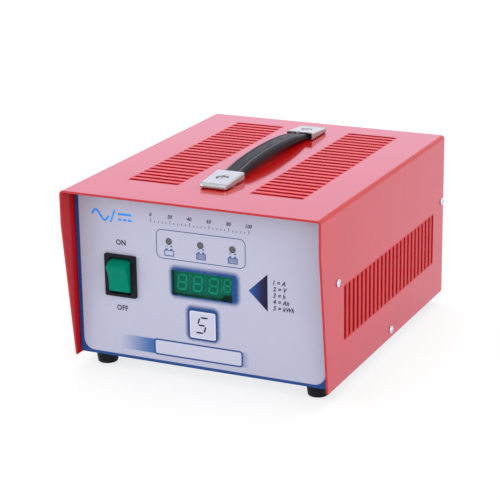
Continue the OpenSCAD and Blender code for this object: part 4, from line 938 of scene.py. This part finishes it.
# a screw along z with its head upward: domed head and ringed shank
def screwSolid(headRadius, headHeight, shankRadius, length):
    crown, steps, foot = (screwShape[key] for key in ("crown", "crownSteps", "crownFoot"))
    profile = [(0.0, headHeight)]
    for step in range(1, steps + 1):
        angle = crown * step / steps
        profile.append((headRadius * math.sin(angle) / math.sin(crown),
                        headHeight * (foot + (1 - foot) * math.cos(angle))))
    profile += [(headRadius, headHeight * screwShape["rim"]),
                (headRadius * screwShape["under"], 0.0), (shankRadius, 0.0)]
    pitch = screwShape["pitch"]
    for turn in range(max(int((length - 2 * pitch) / pitch), 1)):
        level = -pitch - turn * pitch
        root = (shankRadius * screwShape["root"], level - pitch * 0.5)
        profile += [(shankRadius, level), root]
    wide, narrow, bevel = screwShape["point"]
    profile += [(shankRadius * wide, -length + bevel), (shankRadius * narrow, -length),
                (0.0, -length)]
    form = bmesh.new()
    around = screwShape["around"]
    turns = [2 * math.pi * n / around for n in range(around)]
    rings = []
    for radius, level in profile:
        spots = [(radius * math.cos(turn), radius * math.sin(turn), level) for turn in turns]
        rings.append([form.verts.new(spot) for spot in (spots if radius else [(0, 0, level)])])
    for upper, lower in zip(rings, rings[1:]):
        for n in range(around):
            a, b = upper[n % len(upper)], upper[(n + 1) % len(upper)]
            c, d = lower[(n + 1) % len(lower)], lower[n % len(lower)]
            corners = (a, d, c, b)
            form.faces.new([v for at, v in enumerate(corners) if v not in corners[:at]])
    bmesh.ops.recalc_face_normals(form, faces=form.faces)
    return linked("screw", meshFrom("screw", form))


# cutter for the cross recess
def crossSolid(headHeight, arm):
    form = bmesh.new()
    outline = cross(0, 0, arm, arm * screwShape["arm"])
    above, floor = headHeight * 1.2, headHeight - headHeight * screwShape["recess"]
    wide, narrow = screwShape["recessTop"], screwShape["recessFloor"]
    top = [form.verts.new((x * wide, y * wide, above)) for x, y in outline]
    low = [form.verts.new((x * narrow, y * narrow, floor)) for x, y in outline]
    form.faces.new(top)
    form.faces.new(low[::-1])
    for n in range(len(outline)):
        following = (n + 1) % len(outline)
        form.faces.new((top[n], low[n], low[following], top[following]))
    bmesh.ops.recalc_face_normals(form, faces=form.faces)
    return linked("cross", meshFrom("cross", form))


def screwMesh(headRadius, headHeight, shankRadius, length, arm):
    screw = screwSolid(headRadius, headHeight, shankRadius, length)
    cutter = crossSolid(headHeight, arm)
    recess = screw.modifiers.new("recess", "BOOLEAN")
    recess.object, recess.operation, recess.solver = cutter, "DIFFERENCE", "EXACT"
    mesh = appliedMesh(screw)
    bpy.data.objects.remove(cutter)
    return mesh


# separate solids of a node, each as its lowest and highest corner
def solidsOf(node):
    form = bmesh.new()
    form.from_mesh(frame["nodes"][node].data)
    bmesh.ops.remove_doubles(form, verts=form.verts, dist=1e-7)
    found, seen = [], set()
    for first in form.verts:
        if first in seen:
            continue
        group, queue = [], [first]
        seen.add(first)
        while queue:
            vert = queue.pop()
            group.append(vert.co.copy())
            for edge in vert.link_edges:
                other = edge.other_vert(vert)
                if other not in seen:
                    seen.add(other)
                    queue.append(other)
        found.append(tuple(Vector([end(co[n] for co in group) for n in range(3)])
                           for end in (min, max)))
    form.free()
    return found


# height of the head, radius of the shank, reach of the cross, and the way the head looks
screws = {
    "cover_screws": {"head": 1.9, "shank": 1.5, "cross": 1.55, "axis": "x"},
    "foot_screws": {"head": 2.2, "shank": 2.0, "cross": 1.7, "axis": "-z"},
    "inlet_screws": {"head": 2.0, "shank": 1.5, "cross": 1.4, "axis": "y"},
    "fan_screws": {"head": 2.4, "shank": 2.0, "cross": 1.6, "axis": "y"},
    "handle_screws": {"head": 1.9, "shank": 2.5, "cross": 2.0, "axis": "z"},
}


def makeScrews(node):
    look = screws[node]
    form = bmesh.new()
    for count, (low, high) in enumerate(solidsOf(node)):
        center = (low + high) / 2
        out = {"x": Vector((math.copysign(1, center.x), 0, 0)), "y": Vector((0, 1, 0)),
               "z": Vector((0, 0, 1)), "-z": Vector((0, 0, -1))}[look["axis"]]
        size = high - low
        length = abs(size.dot(out)) / mm
        radius = min(size[n] for n in range(3) if not out[n]) / 2 / mm
        mesh = screwMesh(radius, look["head"], look["shank"], length - look["head"], look["cross"])
        seat = center + out * (length / 2 - look["head"]) * mm
        turn = Matrix.Rotation(math.radians(25 + 47 * count), 4, "Z")  # no two turned alike
        place = Matrix.Translation(seat) @ out.to_track_quat("Z", "Y").to_matrix().to_4x4()
        mesh.transform(place @ turn @ Matrix.Scale(mm, 4))
        form.from_mesh(mesh)
        bpy.data.meshes.remove(mesh)
    slot = next(part["material_slot"] for part in frame["record"]["subparts"]
                if part["node"] == node)
    addPiece(node + "_crossed", form, finishes[slot], smooth=True, replaces=node)


for node in screws:
    makeScrews(node)
print("screws cut")

# rocker of the switch: ends on an arc round its pivot, a hollow face, and soft moulded edges
rocker = {
    "arc": 12.3,
    "lift": 8.0,        # how far its ends stand out from the pivot
    "hollow": 1.6,      # how deep the face curves in
    "back": -6.0,
    "soft": 1.7,
    "tilt": 12.5,       # at rest, upper end out
    "pivot": 2.7,       # behind the bezel's front
    "pinLength": 1.75,
}


# seen from the side: out from the pivot, and up
def rockerProfile():
    arc, lift = rocker["arc"], rocker["lift"]
    backAngle, noseAngle = math.acos(rocker["back"] / arc), math.acos(lift / arc)
    angles = [backAngle + (noseAngle - backAngle) * n / 14 for n in range(15)]
    upper = [(arc * math.cos(angle), arc * math.sin(angle)) for angle in angles]
    reach = upper[-1][1]
    face = [(lift - rocker["hollow"] * (1 - (up / reach) ** 2), up)
            for up in (reach * (1 - n / 7) for n in range(1, 14))]
    return upper + face + [(out, -up) for out, up in upper[::-1]]


def makeRocker():
    low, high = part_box("rocker")
    bezelLow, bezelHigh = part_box("switch_housing")
    pivot = Vector(((low.x + high.x) / 2, bezelLow.y + rocker["pivot"] * mm,
                    (bezelLow.z + bezelHigh.z) / 2))
    width = (high.x - low.x) / mm - 2 * rocker["pinLength"]
    profile = rockerProfile()
    form = bmesh.new()
    left, right = ([form.verts.new((x, -out, up)) for out, up in profile]
                   for x in (-width / 2, width / 2))
    form.faces.new(left)
    form.faces.new(right[::-1])
    for n in range(len(profile)):
        following = (n + 1) % len(profile)
        form.faces.new((left[n], right[n], right[following], left[following]))
    bmesh.ops.recalc_face_normals(form, faces=form.faces)
    block = linked("rocker_block", meshFrom("rocker_block", form))
    soft = block.modifiers.new("soft_edges", "BEVEL")
    soft.width, soft.segments = rocker["soft"], 5
    soft.limit_method, soft.angle_limit = "ANGLE", math.radians(28)
    mesh = appliedMesh(block)
    tilt = Matrix.Rotation(math.radians(rocker["tilt"]), 4, "X")
    mesh.transform(Matrix.Translation(pivot) @ tilt @ Matrix.Scale(mm, 4))
    form = bmesh.new()
    form.from_mesh(mesh)
    addPiece("soft_rocker", form, finishes["green_rocker"], body="rocker",
             smooth=True, replaces="rocker")
    print("rocker moulded")


makeRocker()

# carrying strap: a crowned bar with a bead along each edge, arched between the caps
strap = {
    "width": 14.6,
    "thickness": 5.3,
    "belly": 1.7,        # how much fuller it is underneath at its middle
    "bellyReach": 60.0,  # where that ends
    "rise": 7.6,         # middle of the bar above the cover
    "arch": 450.0,       # radius it bends to
    "mouth": 63.0,       # where it goes under the caps
    "mouthTop": 5.1,
    "taper": 22.0,       # length over which its top comes down to the mouth
    "tongue": (12.2, 2.2, 73.5),  # width and thickness in the cap, and how far it reaches
    "tuck": (1.0, 4.0),  # inside the mouth, over which it narrows to the tongue
    "bead": 0.55,
    "beadIn": 2.2,       # from the strap's edge
    "beadWidth": 0.6,
    "groove": 0.75,      # depth beside a bead, as a share of its height
    "grooveIn": 2.2,     # from the bead, in widths of it
    "beadEnd": 0.25,     # share of the bead that is left under the caps
    "square": 4.2,       # how square the section is
    "around": 72,
    "stations": 96,
}


# share of the way from one place to another
def share(at, start, end):
    return min(max((at - start) / (end - start), 0), 1)


# width, underside, top and bead of the strap at a place along it
def strapSection(along):
    away, arch, thick = abs(along), strap["arch"], strap["thickness"]
    mouth, start = strap["mouth"], strap["mouth"] - strap["taper"]
    wideEnd, topEnd = strap["tongue"][:2]
    center = strap["rise"] - arch + math.sqrt(arch ** 2 - away ** 2)
    top = center + thick / 2
    bottom = center - thick / 2 - strap["belly"] * max(1 - (away / strap["bellyReach"]) ** 2, 0)
    if away > start:
        startTop = strap["rise"] + thick / 2 - arch + math.sqrt(arch ** 2 - start ** 2)
        top = min(top, startTop + (strap["mouthTop"] - startTop) * (away - start) / (mouth - start))
    tuckStart, tuckLength = strap["tuck"]
    inside = share(away, mouth + tuckStart, mouth + tuckStart + tuckLength)
    wide = strap["width"] + (wideEnd - strap["width"]) * inside
    top += (topEnd - top) * inside
    bottom = max(bottom * (1 - inside), 0.05)
    clear = 1 - share(away, start, mouth - tuckLength)
    return wide, bottom, top, strap["bead"] * (strap["beadEnd"] + (1 - strap["beadEnd"]) * clear)


def makeStrap():
    low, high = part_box("handle_strap")
    middle, level = (low.y + high.y) / 2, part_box("cover")[1].z
    end, around, stations = strap["tongue"][2], strap["around"], strap["stations"]
    form = bmesh.new()
    rings = []
    for count in range(stations + 1):
        y = -end + 2 * end * count / stations
        wide, bottom, top, bead = strapSection(y)
        ring = []
        for n in range(around):
            angle = 2 * math.pi * (n + 0.5) / around
            across, up = (math.copysign(abs(part) ** (2 / strap["square"]), part)
                          for part in (math.cos(angle), math.sin(angle)))
            x = across * wide / 2
            z = (top + bottom) / 2 + up * (top - bottom) / 2
            if up > 0:
                near = (wide / 2 - strap["beadIn"] - abs(x)) / strap["beadWidth"]
                groove = strap["groove"] * math.exp(-(near - strap["grooveIn"]) ** 2)
                z += bead * (math.exp(-near ** 2) - groove)
            ring.append(form.verts.new((x * mm, middle + y * mm, level + z * mm)))
        rings.append(ring)
    for one, other in zip(rings, rings[1:]):
        for n in range(around):
            following = (n + 1) % around
            form.faces.new((one[n], one[following], other[following], other[n]))
    form.faces.new(rings[0][::-1])
    form.faces.new(rings[-1])
    addPiece("carrying_strap", form, finishes["strap_vinyl"], smooth=True,
             replaces="handle_strap")


makeStrap()
print("strap laid")

# light: plain white from all round, and four large lamps, with their power in watts
ambient = 1.0
lamps = {
    "softbox": {"watts": 6.3, "color": (0.5, 0.42, 0.85), "size": (2.8, 0.8),
                "spot": (-1.26, 2.58, 1.03)},  # long, behind the case, mirrored by its top
    "overhead": {"watts": 13.0, "size": (1.5, 1.5), "spot": (0, 0.55, 2.1)},
    "side_lamp": {"watts": 14.0, "size": (1.2, 1.2), "spot": (2.1, -1.05, 0.8)},
    "front_lamp": {"watts": 16.0, "size": (1.2, 1.2), "spot": (-2.0, -1.3, 0.7)},
}


def makeLamp(name, watts, size, spot, color=(1, 1, 1), target=(0, 0, 0.07)):
    lamp = bpy.data.lights.new(name, "AREA")
    lamp.shape = "RECTANGLE"
    lamp.energy, lamp.color = watts, color
    lamp.size, lamp.size_y = size
    holder = linked(name, lamp)
    holder.location = spot
    way = Vector(target) - Vector(spot)
    holder.rotation_euler = way.to_track_quat("-Z", "Y").to_euler()
    holder.visible_camera = False


def makeLight():
    world = bpy.data.worlds.new("studio")
    scene.world = world
    world.use_nodes = True
    backdrop = world.node_tree.nodes["Background"]
    backdrop.inputs["Strength"].default_value = ambient
    backdrop.inputs["Color"].default_value = (1, 1, 1, 1)
    for name, look in lamps.items():
        makeLamp(name, **look)


studioFloor = {
    "color": (0.95, 0.95, 0.95),
    "white": 0.7,                  # share of plain white that the camera sees; the rest is lit
    "mirrored": (1.0, 1.03, 1.3),  # tint of that white in glossy faces
    "reach": 6.0,
}


def floorFinish():
    finish = grained("floor_white", studioFloor["color"], 0.9, cloud=400, vary=0.004, grain=5,
                     depth=0.0, edge=0, shine=0.2)
    # the lit part carries the shadow of the case
    tree = finish.node_tree
    rays = addNode(tree, "LightPath").outputs
    seen = maths(tree, "MAXIMUM", rays["Is Camera Ray"], rays["Is Glossy Ray"])
    seen = maths(tree, "MAXIMUM", seen, rays["Is Transmission Ray"])
    glow = mixColors(tree, rays["Is Camera Ray"], studioFloor["mirrored"], (1, 1, 1))
    white = addNode(tree, "Emission", {"Color": glow, "Strength": 1.0}).outputs[0]
    lit = tree.nodes["Principled BSDF"].outputs[0]
    seen = times(tree, seen, studioFloor["white"])
    mixed = addNode(tree, "MixShader", {0: seen, 1: lit, 2: white}).outputs[0]
    tree.links.new(mixed, tree.nodes["Material Output"].inputs["Surface"])
    return finish


def makeFloor():
    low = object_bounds()[0]
    reach = studioFloor["reach"]
    corners = [(x, y, low.z) for x, y in bar(-reach, -reach, reach, reach)]
    mesh = bpy.data.meshes.new("floor")
    mesh.from_pydata(corners, [], [(0, 1, 2, 3)])
    floor = linked("floor", mesh)
    mesh.materials.append(floorFinish())


makeLight()
makeFloor()
print("light and floor ready")
